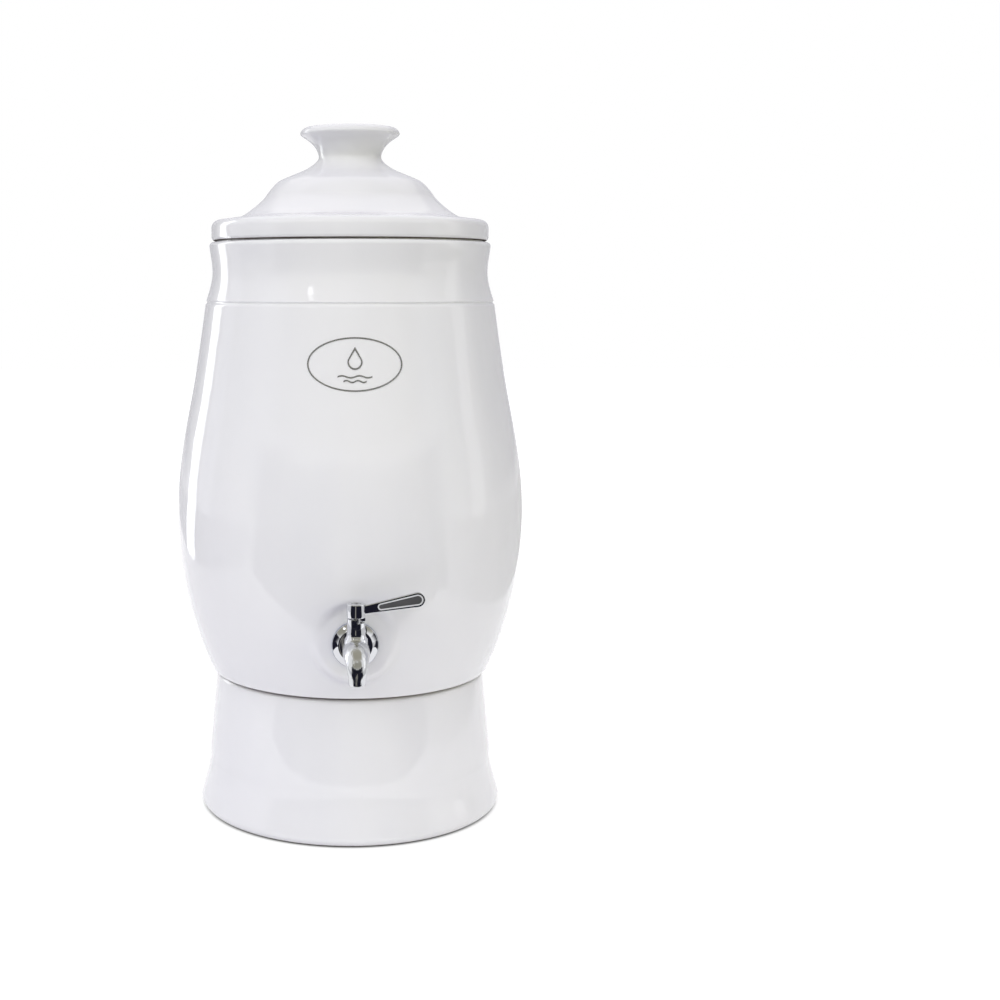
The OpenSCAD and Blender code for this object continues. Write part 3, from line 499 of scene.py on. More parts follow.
crockShape = dict(
    baseRadius=106.2, tapRadius=118.3, tapRadiusHeight=30.0, bellyRadius=132.6, bellyHeight=121.0,
    shoulderRadius=121.3, shoulderHeight=206.0, grooveRadius=109.0, grooveHeight=281.2, grooveDepth=0.9,
    grooveHalf=1.6, grooveBlend=4.0, neckRadius=103.8, neckHeight=304.0, rimRadius=106.2,
    mouthRadius=95.0, height=325.7, wall=8.0, baseRound=3.0, rimRound=3.0, ledgeRadius=101.2,
    ledgeDepth=3.2, ledgeThick=10.0, ledgeBlend=6.0, footRing=93.0, footRingWidth=12.0,
    footChamfer=1.0, floor=9.0, floorRound=8.0, bareShadedFoot=0.4, bareShadedRim=320.0, bareShadedLedge=1.5,
)
tapShape = dict(
    height=44.2, seatFlat=24.5, seatBlend=9.0, seatWall=9.0, innerFlat=18.0, innerBlend=5.0,
    seatInset=0.3, hubReach=20.0,
)


def crockKnots(s):
    # (height, radius, slope) knots below and above the groove, where the outline has a kink
    lower = [
        (0.0, s["baseRadius"], 0.55), (s["tapRadiusHeight"], s["tapRadius"], 0.32),
        (s["bellyHeight"], s["bellyRadius"], 0.0), (s["shoulderHeight"], s["shoulderRadius"], -0.205),
        (s["grooveHeight"], s["grooveRadius"], -0.15),
    ]
    neck = [
        (s["grooveHeight"], s["grooveRadius"], -0.32), (s["neckHeight"], s["neckRadius"], 0.0),
        (s["height"], s["rimRadius"], 0.08),
    ]
    return lower, neck


def crockOutline(s, deckTop, base):
    # (radius, height) from the axis under the floor, up the outside with its groove, over the rim and
    # down the inside; the groove's depth is grooveDepth·(1 − t²)^1.5 for t from −1 to 1 across it
    lower, neck = crockKnots(s)
    half = s["grooveHalf"]
    t = np.linspace(-1, 1, 13)
    grooveZ = s["grooveHeight"] + t * half
    grooveR = radiusAt(lower, grooveZ) - s["grooveDepth"] * (1 - t**2) ** 1.5
    groove = np.column_stack([grooveR, grooveZ])
    baseR = radiusAt(lower, s["baseRound"]) - s["baseRound"]
    rimR = radiusAt(neck, s["height"] - s["rimRound"]) - s["rimRound"]
    footLow = deckTop - base
    chamfer = s["footChamfer"]
    ringIn = s["footRing"] - s["footRingWidth"]
    outside = np.vstack([
        line((0, 0), (ringIn, 0), (ringIn, footLow + chamfer), (ringIn + chamfer, footLow)),
        line((s["footRing"] - chamfer, footLow), (s["footRing"], footLow + chamfer), (s["footRing"], 0)),
        arc((baseR, s["baseRound"]), s["baseRound"], -90, 0),
        side(lower, s["baseRound"] + 0.8, s["grooveHeight"] - half, 170), groove[1:-1],
        side(neck, s["grooveHeight"] + half, s["height"] - s["rimRound"] - 0.5, 46),
        arc((rimR, s["height"] - s["rimRound"]), s["rimRound"], 0, 90),
    ])
    ledge = s["height"] - s["ledgeDepth"]
    thick = ledge - s["ledgeThick"]
    low = s["floor"] + s["floorRound"]
    lowR = radiusAt(lower, low) - s["wall"]
    a = np.radians(np.linspace(0, 90, 10))[1:]
    inside = np.vstack([
        line((s["ledgeRadius"], s["height"]), (s["ledgeRadius"], ledge), (s["mouthRadius"], ledge),
             (s["mouthRadius"], thick)),
        side(neck, thick - s["ledgeBlend"], s["grooveHeight"], 10, -s["wall"]),
        side(lower, s["grooveHeight"] - s["grooveBlend"], low, 90, -s["wall"]),
        np.column_stack([lowR - s["floorRound"] * (1 - np.cos(a)), low - s["floorRound"] * np.sin(a)]),
        line((lowR - s["floorRound"] - 3, s["floor"]), (0, s["floor"]), step=12),
    ])
    return np.vstack([outside, inside]), len(outside)


def pressFlat(points, tapHeight, seatY, flat, blend):
    # near the tap each point's y goes to the seat's plane: y·(1 − w) − seatY·w,
    # w = 1 within the flat disc and smoothly 0 past the blend
    away = np.hypot(points[..., 0], points[..., 2] - tapHeight)
    w = (1 - smoothStep((away - flat) / blend)) * (points[..., 1] < 0)
    points[..., 1] = points[..., 1] * (1 - w) - seatY * w


deckTop = lowest("crock_floor")[2]
crockBase = highest("crock")[2] - crockShape["height"]
outline, outsideRows = crockOutline(crockShape, deckTop, crockBase)
outline[:, 1] += crockBase
lowerKnots, neckKnots = crockKnots(crockShape)
tapHeight = crockBase + tapShape["height"]
seatY = float(radiusAt(lowerKnots, tapShape["height"])) - tapShape["seatInset"]
crockPoints = turned(outline, frontAngles(300))
pressFlat(crockPoints[:outsideRows], tapHeight, seatY, tapShape["seatFlat"], tapShape["seatBlend"])
pressFlat(crockPoints[outsideRows:], tapHeight, seatY - tapShape["seatWall"],
          tapShape["innerFlat"], tapShape["innerBlend"])
crock = gridObject("crockShell", crockPoints)
# the crock's foot and the ledge inside its mouth: bare clay with painted seam shade
bareShadedLedge = crockShape["ledgeRadius"] + crockShape["bareShadedLedge"]
wipeGlazeAndShadeSeams(crock, (-beyond, crockBase + crockShape["bareShadedFoot"], 0, beyond),
          (crockBase + crockShape["bareShadedRim"], beyond, 0, bareShadedLedge))
dress(crock, "crock", whiteGlaze, "glaze", "crock", "crock_floor")

lidShape = dict(
    radius=104.2, rimHeight=15.6, footRadius=84.0, shoulderRadius=56.0, shoulderHeight=42.3,
    waistRadius=23.4, waistHeight=62.3, knobRadius=37.2, height=85.4, wall=7.0, crown=3.0,
    spigotRadius=89.8, spigotDepth=9.0, spigotWidth=4.0, spigotChamfer=1.0, rimRound=6.0,
    underRound=3.0, bareShadedUnder=0.5, bareShadedInside=5.0,
)


def lidOutline(s):
    # (radius, height) from the centre of the underside, round the spigot and the rim, over the dome to
    # the knob's top; a knot holds radius, height and how far they run on there
    ceiling = s["shoulderHeight"] - s["crown"]
    inner = s["spigotRadius"] - s["spigotWidth"]
    under, rim, chamfer = s["underRound"], s["rimRound"], s["spigotChamfer"]
    spigotLow = -s["spigotDepth"]
    inside = pathThrough([
        (0, ceiling, 30, 0),
        (s["shoulderRadius"] - s["wall"], ceiling - 6, 14, -10),  # the vault turns down
        (s["footRadius"] - s["wall"] - 6, s["rimHeight"], 16, -2),  # its flat edge
        (inner, s["rimHeight"] - 6, 0, -6),  # down into the spigot
    ])
    outside = pathThrough([
        (s["radius"] - rim, s["rimHeight"], -6, 0.3),  # in from the rim
        (s["footRadius"], s["rimHeight"] + 2, -13, 1.6),  # foot of the dome
        (s["shoulderRadius"] + 7.2, s["shoulderHeight"] - 9, -8, 12.5),  # steep below the shoulder
        (s["shoulderRadius"] - 2.7, s["shoulderHeight"] + 1.9, -8.5, 5.4),  # flatter above it
        (s["waistRadius"] + 13, s["waistHeight"] - 10.8, -14, 5.8),
        (s["waistRadius"], s["waistHeight"], 0, 12),
        (s["knobRadius"] - 7.2, s["height"] - 11.9, 9.5, 7.5),  # the knob flares out
        (s["knobRadius"], s["height"] - 6.2, 0, 4.4),
        (s["knobRadius"] - 4.2, s["height"] - 1.9, -7, 1.5),  # its rounded upper edge
        (0, s["height"], -20, 0),
    ])
    return np.vstack([
        inside,
        line((inner, s["rimHeight"] - 9), (inner, spigotLow + chamfer), (inner + chamfer, spigotLow)),
        line((s["spigotRadius"] - chamfer, spigotLow), (s["spigotRadius"], spigotLow + chamfer),
             (s["spigotRadius"], 0), (s["radius"] - under - 0.5, 0)),
        arc((s["radius"] - under, under), under, -90, 0),
        arc((s["radius"] - rim, s["rimHeight"] - rim), rim, 0, 80, 11),
        outside,
    ])


lidLow = highest("lid")[2] - lidShape["height"]
lidPath = lidOutline(lidShape)
lidPath[:, 1] += lidLow
lid = gridObject("lidShell", turned(lidPath, evenAngles(256)))
# the band under the lid's rim: bare clay with painted seam shade
wipeGlazeAndShadeSeams(lid, (-beyond, lidLow + lidShape["bareShadedUnder"], lidShape["spigotRadius"] - lidShape["bareShadedInside"],
                beyond))
dress(lid, "lid", whiteGlaze, "glaze", "lid")

spoutShape = dict(
    start=5.0, boss=11.3, bossRound=0.3, bossHold=1.5, bossBlend=6.5, barrel=9.4, taperLead=3.0,
    taperStart=-0.6, taperEnd=-2.2, bendStart=28.0, bend=13.0, drop=18.5, end=5.6,
    lipBack=(0.3, 0.08, 0.0), lipIn=(0.05, 0.25, 0.7),  # rounding: so far before the end, so much in
    bore=3.8, boreChamfer=0.5, boreDepth=9.0,
)


def spoutPoints(s):
    # circles of radius r(d) carried along a level stretch, a quarter turn and a plumb stretch;
    # d is the way along the centre line, and r the lesser of the boss's step and the barrel's taper
    turnLength = s["bend"] * math.pi / 2
    straight = s["drop"] - s["bend"]
    total = s["bendStart"] + turnLength + straight
    d = np.concatenate([
        np.linspace(s["start"], s["bendStart"], 26, endpoint=False),
        np.linspace(s["bendStart"], total - 0.6, 44), total - np.array(s["lipBack"]),
    ])
    boss = s["boss"] - s["bossRound"]
    step = boss + (s["barrel"] - boss) * smoothStep((d - s["start"] - s["bossHold"]) / s["bossBlend"])
    taperFrom = s["bendStart"] - s["taperLead"]
    t = np.clip((d - taperFrom) / (total - taperFrom), 0, 1)
    r = np.minimum(step, cubic(s["barrel"], s["end"], s["taperStart"], s["taperEnd"], t))
    r[-3:] -= np.array(s["lipIn"])
    # the outlet's inner wall goes back up from the end
    back = total - s["boreDepth"]
    d = np.concatenate([[s["start"]], d, [total, total - s["boreChamfer"], back, back]])
    r = np.concatenate([[0.0], r, [s["bore"] + s["boreChamfer"], s["bore"], s["bore"], 0.0]])
    a = np.clip((d - s["bendStart"]) / turnLength, 0, 1) * np.pi / 2
    out = np.minimum(d, s["bendStart"]) + s["bend"] * np.sin(a)
    down = s["bend"] * (1 - np.cos(a)) + np.maximum(d - s["bendStart"] - turnLength, 0)
    b = evenAngles(96)
    across = r[:, None] * np.cos(b)
    along = r[:, None] * np.sin(b)
    return np.stack([across, -(out[:, None] + along * np.sin(a)[:, None]),
                     -down[:, None] + along * np.cos(a)[:, None]], axis=-1)


tapOrigin = np.array([0.0, -seatY, tapHeight])
hubOrigin = tapOrigin + np.array([0.0, -tapShape["hubReach"], 0.0])
spout = gridObject("tapSpout", spoutPoints(spoutShape) + tapOrigin, sharp=50)
dress(spout, "crock", castChrome, "tap_chrome", "tap_body")

neckShape = dict(
    radius=6.3, bore=3.2, boreDepth=6.0, top=23.3, notch=2.6, notchFrom=-86.0, notchTo=32.0, notchWall=0.02,
    skirt=1.7, skirtTop=13.2, skirtHeight=4.5, skirtPower=2.2, low=4.0, edge=0.35, edgeSoft=0.1,
)


def neckPoints(s):
    # a turned post whose top falls by the notch's depth between two angles; its foot widens by
    # skirt·(1 − t)^skirtPower, t from 0 below to 1 above
    first, last = math.radians(s["notchFrom"]), math.radians(s["notchTo"])
    angles = np.concatenate([
        np.linspace(first + s["notchWall"], last - s["notchWall"], 30),
        np.linspace(last + s["notchWall"], first - s["notchWall"] + 2 * np.pi, 66),
    ])
    inNotch = ((angles > first) & (angles < last))[None, :]
    top = s["top"] - s["notch"] * inNotch
    edge, soft = s["edge"], s["edgeSoft"]
    t = np.linspace(0, 1, 9)[:, None]
    skirtR = s["radius"] + s["skirt"] * (1 - t) ** s["skirtPower"]
    skirtZ = s["skirtTop"] - s["skirtHeight"] + s["skirtHeight"] * t
    flat = np.ones_like(top)
    radii = [0 * flat, (s["radius"] + s["skirt"]) * flat, *(skirtR * flat)]
    heights = [s["low"] * flat, s["low"] * flat, *(skirtZ * flat)]
    for r, drop in ((s["radius"], edge), (s["radius"] - soft, soft), (s["radius"] - edge, 0.0),
                    (s["bore"] + edge, 0.0), (s["bore"], edge)):
        radii.append(r * flat)
        heights.append(top - drop)
    radii += [s["bore"] * flat, 0 * flat]
    heights += [(s["top"] - s["boreDepth"]) * flat] * 2
    r, z = np.vstack(radii), np.vstack(heights)
    return np.stack([r * np.cos(angles), r * np.sin(angles), z], axis=-1)


neck = gridObject("tapNeck", neckPoints(neckShape) + hubOrigin, sharp=40)
dress(neck, "crock", mirrorChrome, "tap_chrome")

flangeShape = dict(radius=16.3, back=1.5, rim=1.0, rimIn=0.4, backIn=0.3, front=5.0, bow=0.2, hole=8.1,
                   boss=11.9, bossFlat=1.0)


def flangeOutline(s):
    # (radius, height): flat back, thin rounded rim, then a nearly straight cone up to the boss,
    # whose height grows as (1 − bow)·t + bow·t²
    t = np.linspace(0, 1, 16)
    coneR, coneZ, half = s["radius"] - s["rimIn"], s["back"] + s["rim"], s["rim"] / 2
    r = coneR + (s["boss"] - coneR) * t
    z = coneZ + (s["front"] - coneZ) * ((1 - s["bow"]) * t + s["bow"] * t**2)
    return np.vstack([
        line((s["hole"], s["back"]), (s["radius"] - s["backIn"], s["back"])),
        arc((s["radius"] - half, s["back"] + half), half, -60, 60, 7),
        np.column_stack([r, z]),
        line((s["boss"] - s["bossFlat"], s["front"]), (s["hole"], s["front"])),
    ])


def facingOut(points, origin):
    # a piece turned about Z is laid over so that its Z points out of the crock: (x, −z, y)
    x, y, z = points[..., 0], points[..., 1], points[..., 2]
    return np.stack([x, -z, y], axis=-1) + origin


flange = gridObject("tapFlange", facingOut(turned(flangeOutline(flangeShape), evenAngles(128)), tapOrigin),
                    wrapRows=True, sharp=40)
dress(flange, "crock", mirrorChrome, "tap_chrome", "tap_flange")

leverShape = dict(
    hubRadius=6.5, hubLow=24.1, hubHeight=9.6, hubEdge=0.7, hubFoot=0.4, recess=3.3, recessDepth=1.4,
    recessEdge=0.2, bore=1.35, boreDepth=4.5,
    start=0.5, root=2.6, end=5.2, reach=43.0, thick=3.6, drop=0.5, rise=10.5, round=0.6,
    pocketStart=17.5, pocketEdge=1.7, pocketFull=0.2, pocketDepth=0.9,
    pocketLip=((-0.45, 0.0), (-0.15, 0.08), (0.0, 0.3)),  # inset and depth of the pocket's rounded lip
    padSink=0.25, padEdge=((0.05, 0.3), (0.15, 0.08), (0.4, 0.0)),  # the same of the pad's edge
    frameIn=0.65, frameOut=0.3, frameRise=0.12, frameSink=0.1, frameFoot=0.6, framePower=0.6,
    lug=12.0, lugAt=18.0, lugDrop=3.0, lugRise=0.3, lugIn=4.25, lugOut=6.3,
)


def hubOutline(s):
    # (radius, height) from the centre of the underside, up the side, down the screw's recess and bore
    low, top = s["hubLow"], s["hubLow"] + s["hubHeight"]
    foot, edge = s["hubFoot"], s["hubEdge"]
    recessLow, boreLow = top - s["recessDepth"], top - s["boreDepth"]
    return np.vstack([
        line((0, low), (s["hubRadius"] - foot, low)),
        arc((s["hubRadius"] - foot, low + foot), foot, -90, 0, 5),
        arc((s["hubRadius"] - edge, top - edge), edge, 0, 90, 9),
        line((s["recess"] + s["recessEdge"], top), (s["recess"], top - s["recessEdge"]),
             (s["recess"], recessLow), (s["bore"], recessLow), (s["bore"], boreLow), (0, boreLow), step=2),
    ])


def barOutline(x0, r0, x1, r1, count=96):
    # the outline round two circles: right arc, upper line, left arc, lower line, evenly by share
    a = math.asin(np.clip((r1 - r0) / (x1 - x0), -1, 1))
    n = count // 4
    right = arc((x1, 0), max(r1, 0), math.degrees(-np.pi / 2 - a), math.degrees(np.pi / 2 + a), n)
    left = arc((x0, 0), max(r0, 0), math.degrees(np.pi / 2 + a), math.degrees(1.5 * np.pi - a), n)
    t = np.linspace(0, 1, n + 2)[1:-1, None]
    upper = right[-1] + (left[0] - right[-1]) * t
    lower = left[-1] + (right[0] - left[-1]) * t
    return np.vstack([right, upper, left, lower])


def bladeOutline(s, inset):
    # the blade's outline, narrower by inset on every side
    return barOutline(s["start"], s["root"] - inset, s["reach"], s["end"] - inset)


def pocketOutline(s, inset):
    # the pocket's outline, pocketEdge inside the blade's and narrower by inset; its root is
    # root + (end − root)·pocketStart / reach − pocketEdge + pocketFull
    grow = (s["end"] - s["root"]) / s["reach"]
    root = s["root"] + grow * s["pocketStart"] - s["pocketEdge"] + s["pocketFull"]
    end = s["end"] - s["pocketEdge"]
    return barOutline(s["pocketStart"], root - inset, s["reach"], end - inset)


def pocketSpine(s):
    # the middle line in which a face of the pocket or the pad closes
    return barOutline(s["pocketStart"], 0.0, s["reach"], 0.0)


def layered(rows):
    # rows of (outline, depth) as three grids: along the lever, up and depth
    flat = np.stack([outline for outline, depth in rows])
    depth = np.array([depth for outline, depth in rows])[:, None]
    return flat[..., 0], flat[..., 1], depth + 0 * flat[..., 0]


def bladePoints(s):
    # nested outlines: spine of the back, back edge, front edge, pocket wall, spine of the pocket's
    # floor; both edges are quarter rounds, round·(1 − sin a) in and round·(1 − cos a) deep
    half, e = s["thick"] / 2, s["round"]
    turn = np.radians(np.linspace(0, 90, 6))
    rows = [(barOutline(s["start"], 0.0, s["reach"], 0.0), half)]
    rows += [(bladeOutline(s, e * (1 - math.sin(a))), half - e * (1 - math.cos(a))) for a in turn]
    rows += [(bladeOutline(s, e * (1 - math.cos(a))), -half + e * (1 - math.sin(a))) for a in turn]
    rows += [(pocketOutline(s, inset), -half + depth) for inset, depth in s["pocketLip"]]
    rows += [(pocketOutline(s, 0.0), -half + s["pocketDepth"]), (pocketSpine(s), -half + s["pocketDepth"])]
    return layered(rows)


def tilted(x, up, depth, s):
    # along the lever, across it and through it, raised by the lever's rise about the hub:
    # (x·cos a − up·sin a, depth, middle + x·sin a + up·cos a)
    a = math.radians(s["rise"])
    middle = s["hubLow"] + s["hubHeight"] / 2 - s["drop"]
    z = middle + x * math.sin(a) + up * math.cos(a)
    return np.stack([x * math.cos(a) - up * math.sin(a), depth, z], axis=-1)


def padPoints(s):
    # a shallow pad that fills the pocket, its edge rounded and its face a little below the blade's
    front = -s["thick"] / 2
    low, top = front + s["pocketDepth"], front + s["padSink"]
    rows = [(pocketSpine(s), low), (pocketOutline(s, s["padEdge"][0][0]), low)]
    rows += [(pocketOutline(s, inset), top + depth) for inset, depth in s["padEdge"]]
    return layered(rows + [(pocketSpine(s), top)])


def framePoints(s):
    # a bright beading round the pad: a low ridge that follows the pocket's outline and rises as
    # (sin a)^framePower while it crosses from frameIn to frameOut
    front = -s["thick"] / 2
    a = np.linspace(0, np.pi, 9)
    width = s["frameIn"] + s["frameOut"]
    insets = [s["frameIn"], *(s["frameIn"] - width * (1 - np.cos(a)) / 2), -s["frameOut"]]
    ridge = front + s["frameSink"] - (s["frameSink"] + s["frameRise"]) * np.sin(a) ** s["framePower"]
    depths = [front + s["frameFoot"], *ridge, front + s["frameFoot"]]
    return layered([(pocketOutline(s, inset), depth) for inset, depth in zip(insets, depths)])


def lugPoints(s):
    # a short block bent round the axis: (r·cos a, r·sin a, z), the stop that runs in the neck's notch
    steps = 9
    a = np.radians(s["lugAt"] + np.linspace(-s["lug"], s["lug"], steps))
    low, high = s["hubLow"] - s["lugDrop"], s["hubLow"] + s["lugRise"]
    ring = [(s["lugIn"], low), (s["lugOut"], low), (s["lugOut"], high), (s["lugIn"], high)]
    closed = [((s["lugIn"] + s["lugOut"]) / 2, (low + high) / 2)] * 4
    rz = np.array([closed] + [ring] * steps + [closed])
    angle = np.concatenate([a[:1], a, a[-1:]])[:, None]
    return np.stack([rz[..., 0] * np.cos(angle), rz[..., 0] * np.sin(angle), rz[..., 1]], axis=-1)


hub = gridObject("leverHub", turned(hubOutline(leverShape), evenAngles(96)) + hubOrigin, sharp=40)
dress(hub, "lever", mirrorChrome, "tap_chrome", "lever")
blade = gridObject("leverBlade", tilted(*bladePoints(leverShape), leverShape) + hubOrigin, sharp=40)
dress(blade, "lever", mirrorChrome, "tap_chrome")
lug = gridObject("leverLug", lugPoints(leverShape) + hubOrigin, sharp=30)
dress(lug, "lever", mirrorChrome, "tap_chrome")
pad = gridObject("leverPad", tilted(*padPoints(leverShape), leverShape) + hubOrigin, sharp=40)
dress(pad, "lever", satinInlay, "inlay_plastic", "lever_inlay")
beading = gridObject("leverBeading", tilted(*framePoints(leverShape), leverShape) + hubOrigin, wrapRows=True,
                     sharp=60)
dress(beading, "lever", satinBead, "tap_chrome")

finishes = {
    "badge": badgeChrome, "upper_chamber": whitePlastic, "dome_seal": darkRubber,
    "dome_plate": whitePlastic, "ceramic_dome": bareCeramic, "stem_washer": darkRubber,
    "stem_nut": whitePlastic, "cartridge_seal": darkRubber, "cartridge_cap": bluePlastic,
    "cartridge_sleeve": clearPlastic, "cartridge_basket": bluePlastic, "filter_pads": pressedFelt,
    "carbon_bed": carbonGrain, "zeolite_bed": zeoliteGrain, "silica_sand_bed": sandGrain,
    "mineral_balls": firedBall, "tap_front_washer": greySilicone, "tap_shank": turnedSteel,
    "tap_rear_washer": greySilicone, "tap_nut": turnedSteel, "rear_valve_seat": slickSeat,
    "front_valve_seat": slickSeat, "ball_valve": mirrorChrome, "valve_stem": turnedSteel,
    "stem_o_rings": darkRubber, "lever_screw": turnedSteel,
}
for node, paint in finishes.items():
    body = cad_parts[node].data
    body.materials.clear()
    body.materials.append(paint)
print("finished", len(finishes), "carried nodes")

studio = dict(
    floorHalf=6.0, tableTone=(0.84, 0.84, 0.87), roomTone=(0.26, 0.26, 0.27), tableRadius=0.65,
    roomRadius=1.0, shadowTone=(0.18, 0.18, 0.18), glowNear=0.86, glowFar=1.0, glowFrom=0.3, glowTo=1.2,
    contact=0.025, covered=0.05, uncovered=0.5,
    skyTone=(0.90, 0.87, 1.0), skyRise=0.872, skyFront=0.71, aimHeight=0.27,
    tableLeft=0.70, tableRight=0.45, tableFront=0.31,
    cameraAzimuth=-1.7, cameraDistance=1.15, cameraHeight=0.4025, pitch=8.19, lens=54.0, shift=0.15,
)


def seenDirectly(beside):
    # 1 for camera, glossy and transmission rays, 0 for the rest
    rays = newNode(beside, "ShaderNodeLightPath").outputs
    seen = combined("MAXIMUM", rays["Is Camera Ray"], rays["Is Glossy Ray"])
    return combined("MAXIMUM", seen, rays["Is Transmission Ray"])


def mixShaders(share, first, second):
    # first·(1 − share) + second·share, for two shaders
    return fed(newNode(share, "ShaderNodeMixShader"), {"Fac": share, 1: first, 2: second}).outputs["Shader"]


def stageMaterial(name):
    # a new material with nothing in it but the output
    paint = bpy.data.materials.new(name)
    paint.use_nodes = True
    paint.node_tree.nodes.clear()
    return paint, paint.node_tree.nodes.new("ShaderNodeOutputMaterial")


def studioFloor():
    # a pale table in a dimmer room, as far as the light goes; to the eye and in reflections all of
    # it reads as white where nothing shades it, and a painted contact shadow dims the glow near the foot
    mesh = bpy.data.meshes.new("studioFloor")
    half = studio["floorHalf"]
    corners = [(-half, -half, 0), (half, -half, 0), (half, half, 0), (-half, half, 0)]
    mesh.from_pydata(corners, [], [(0, 1, 2, 3)])
    floor = bpy.data.objects.new("studioFloor", mesh)
    bpy.context.scene.collection.objects.link(floor)
    paint, out = stageMaterial("paleFloor")
    away = newNode(out, "ShaderNodeVectorMath")
    away.operation = "LENGTH"
    distance = fed(away, {0: objectPoint(out)}).outputs["Value"]
    share = spread(distance, 0.0, 1.0, studio["tableRadius"], studio["roomRadius"])
    table = ramp(share, [(0.0, studio["tableTone"]), (1.0, studio["roomTone"])])
    lit = fed(newNode(out, "ShaderNodeBsdfDiffuse"), {"Color": table})
    shaded = fed(newNode(out, "ShaderNodeBsdfDiffuse"), {"Color": (*studio["shadowTone"], 1)})
    # painted contact shadow: ambient occlusion dims the floor's glow where the foot covers it
    paintedContactShade = fed(newNode(out, "ShaderNodeAmbientOcclusion"), {"Distance": studio["contact"]})
    opened = spread(paintedContactShade.outputs["AO"], 0.0, 1.0, studio["covered"], studio["uncovered"])
    level = spread(distance, studio["glowNear"], studio["glowFar"], studio["glowFrom"], studio["glowTo"])
    glow = fed(newNode(out, "ShaderNodeEmission"), {"Strength": combined("MULTIPLY", opened, level)})
    both = fed(newNode(out, "ShaderNodeAddShader"), {0: shaded.outputs["BSDF"], 1: glow.outputs["Emission"]})
    fed(out, {"Surface": mixShaders(seenDirectly(out), lit.outputs["BSDF"], both.outputs["Shader"])})
    mesh.materials.append(paint)


def studioWorld():
    # white to the eye and in reflections; for the light a soft sky whose strength is
    # rise·max(z, 0) + front·max(−y, 0) of the direction (x, y, z)
    world = bpy.data.worlds.new("studio")
    bpy.context.scene.world = world
    world.use_nodes = True
    world.node_tree.nodes.clear()
    out = world.node_tree.nodes.new("ShaderNodeOutputWorld")
    white = fed(newNode(out, "ShaderNodeBackground"), {"Color": (1, 1, 1, 1)})
    way = newNode(out, "ShaderNodeTexCoord")
    parts = fed(newNode(out, "ShaderNodeSeparateXYZ"), {"Vector": way.outputs["Generated"]}).outputs
    above = spread(parts["Z"], 0.0, studio["skyRise"])
    ahead = spread(parts["Y"], 0.0, studio["skyFront"], 0.0, -1.0)
    sky = {"Color": (*studio["skyTone"], 1), "Strength": combined("ADD", above, ahead)}
    soft = fed(newNode(out, "ShaderNodeBackground"), sky)
    shown = mixShaders(seenDirectly(out), soft.outputs["Background"], white.outputs["Background"])
    fed(out, {"Surface": shown})


def aimedAt(position, target):
    # the turn that points local −Z from position to target: up by the elevation, round by the azimuth
    way = np.array(target, float) - np.array(position, float)
    flat = math.hypot(way[0], way[1])
    return (math.pi / 2 + math.atan2(way[2], flat), 0.0, math.atan2(way[1], way[0]) - math.pi / 2)


def softLight(name, azimuth, distance, height, width, tall, power, colour):
    # a soft box seen from the object at an azimuth, where 0 is the camera's side and 90 its right
    a = math.radians(azimuth)
    light = bpy.data.lights.new(name, "AREA")
    light.shape = "RECTANGLE"
    light.size, light.size_y = width, tall
    light.energy = power
    light.color = colour
    lamp = bpy.data.objects.new(name, light)
    lamp.location = (distance * math.sin(a), -distance * math.cos(a), height)
    lamp.rotation_euler = aimedAt(lamp.location, (0, 0, studio["aimHeight"]))
    lamp.visible_glossy = False
    bpy.context.scene.collection.objects.link(lamp)


def wallPoints(fromAzimuth, toAzimuth, distance, low, high):
    # an upright sheet bowed round the object: (d·sin a, −d·cos a, z)
    a = np.radians(np.linspace(fromAzimuth, toAzimuth, 41))[None, :]
    z = np.linspace(low, high, 21)[:, None]
    return np.stack([distance * np.sin(a) + 0 * z, -distance * np.cos(a) + 0 * z, z + 0 * a], axis=-1)


def levelPoints(left, right, front, back, height):
    # a level sheet: (x, y, height) on an even grid
    x, y = np.meshgrid(np.linspace(left, right, 41), np.linspace(front, back, 21))
    return np.stack([x, y, np.full_like(x, height)], axis=-1)


def fanPoints(fromAzimuth, toAzimuth, far, height=0.004):
    # the floor past the table's edge: (d·sin a, −d·cos a, height), where d runs from near, at which
    # the ray leaves the rectangle, to far as near + (far − near)·t²
    a = np.radians(np.linspace(fromAzimuth, toAzimuth, 61))[None, :]
    toSide = np.where(a < 0, studio["tableLeft"], studio["tableRight"]) / np.maximum(np.abs(np.sin(a)), 1e-6)
    toFront = studio["tableFront"] / np.maximum(np.cos(a), 1e-6)
    near = np.minimum(toSide, toFront)
    d = near + (far - near) * np.linspace(0, 1, 21)[:, None] ** 2
    return np.stack([d * np.sin(a), -d * np.cos(a), np.full_like(d, height)], axis=-1)


def reflectedSheet(name, points, tone, fade):
    # a sheet that only reflections see, as a photographer sets beside polished things; it fades out
    # over a share of its width and height: the product of two smooth steps from the edges
    sheet = gridObject(name, points / mm, wrapColumns=False)
    rows, columns = points.shape[:2]
    u = np.minimum(np.arange(columns), np.arange(columns)[::-1]) / (columns - 1)
    v = np.minimum(np.arange(rows), np.arange(rows)[::-1]) / (rows - 1)
    mask = smoothStep(v / fade)[:, None] * smoothStep(u / fade)[None, :]
    sheet.data.attributes.new("fade", "FLOAT", "POINT").data.foreach_set("value", mask.ravel())
    paint, out = stageMaterial(name)
    glow = fed(newNode(out, "ShaderNodeEmission"), {"Color": (*tone, 1)})
    clear = newNode(out, "ShaderNodeBsdfTransparent")
    shown = mixShaders(attribute(out, "fade"), clear.outputs["BSDF"], glow.outputs["Emission"])
    fed(out, {"Surface": shown})
    sheet.data.materials.append(paint)
    sheet.visible_camera = False
    sheet.visible_diffuse = False
    sheet.visible_shadow = False
    sheet.visible_transmission = False
    sheet.visible_volume_scatter = False


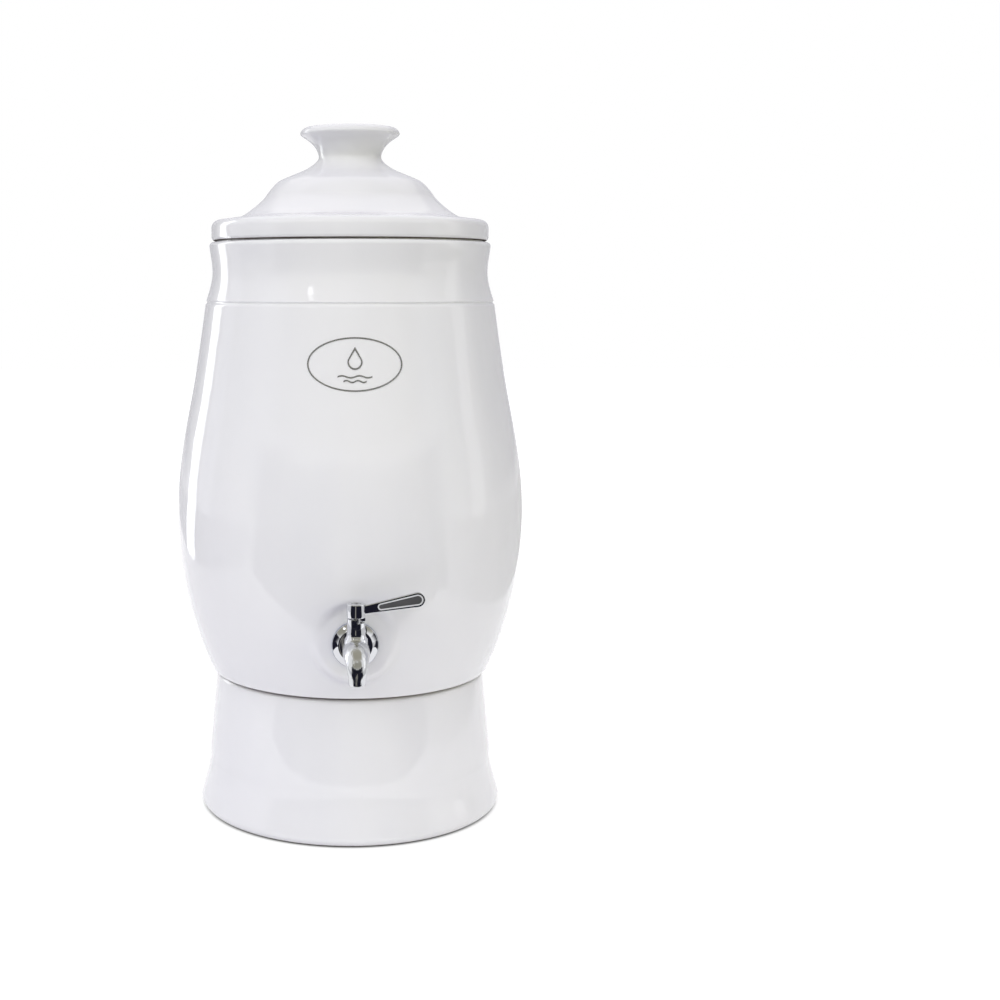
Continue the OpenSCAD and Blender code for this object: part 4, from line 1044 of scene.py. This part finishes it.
def studioCamera():
    # stands at the camera's azimuth and height, looks down by pitch and is shifted sideways
    a = math.radians(studio["cameraAzimuth"])
    camera = bpy.data.objects.new("camera", bpy.data.cameras.new("camera"))
    camera.data.lens = studio["lens"]
    camera.data.shift_x = studio["shift"]
    camera.location = (studio["cameraDistance"] * math.sin(a), -studio["cameraDistance"] * math.cos(a),
                       studio["cameraHeight"])
    camera.rotation_euler = (math.radians(90 - studio["pitch"]), 0, a)
    bpy.context.scene.collection.objects.link(camera)
    bpy.context.scene.camera = camera


lamps = {
    # azimuth, distance, height, width, tall, power and colour
    "keyLamp": (-45, 1.7, 1.5, 1.2, 1.2, 15.1, (0.97, 1.0, 0.84)),
    "rightLamp": (25, 1.7, 1.5, 1.2, 1.2, 3.6, (0.94, 1.0, 0.78)),
    "lowLamp": (50, 1.9, 0.45, 1.2, 0.8, 4.0, (0.97, 1.0, 0.40)),
    "backLamp": (175, 1.7, 1.6, 1.4, 1.2, 29.0, (0.96, 0.96, 1.0)),
}
sheets = {
    # shape with its azimuths, reach and heights; brightness; share that fades out at each edge
    "leftWindow": (wallPoints(-134, -120, 2.4, -0.6, 1.9), (3.4, 3.45, 3.5), 0.04),
    "windowSide": (wallPoints(-118, -100, 2.45, -0.6, 1.9), (1.25, 1.25, 1.3), 0.06),
    "highWindow": (wallPoints(-37, -32, 2.4, 1.62, 1.98), (4.5, 4.5, 4.5), 0.10),
    "rightWindow": (wallPoints(82, 96, 2.6, -0.3, 1.9), (1.6, 1.6, 1.6), 0.15),
    "backWall": (wallPoints(96, 226, 2.9, -0.1, 2.6), (0.60, 0.60, 0.63), 0.10),
    "darkRoom": (wallPoints(-72, 66, 2.7, -0.1, 0.9), (0.012, 0.012, 0.02), 0.12),
    "frontWall": (wallPoints(-66, 60, 2.8, 0.8, 2.6), (0.36, 0.35, 0.29), 0.14),
    "roomFloor": (fanPoints(-66, 62, 3.0), (0.014, 0.014, 0.024), 0.03),
    "paleAisle": (fanPoints(-13, 0, 2.4, 0.008), (0.30, 0.29, 0.26), 0.30),
    "floorLeft": (fanPoints(-178, -62, 3.0), (0.72, 0.72, 0.75), 0.03),
    "floorRight": (fanPoints(58, 178, 3.0), (0.70, 0.70, 0.70), 0.03),
    "windowFloor": (fanPoints(-134, -120, 2.4, 0.006), (3.4, 3.45, 3.5), 0.04),
    "ceiling": (levelPoints(-2.4, 2.4, -2.8, 0.6, 2.5), (0.42, 0.40, 0.32), 0.20),
}
studioFloor()
studioWorld()
for name, lamp in lamps.items():
    softLight(name, *lamp)
for name, sheet in sheets.items():
    reflectedSheet(name, *sheet)
studioCamera()
bpy.context.scene.view_settings.view_transform = "Standard"
print("studio ready")
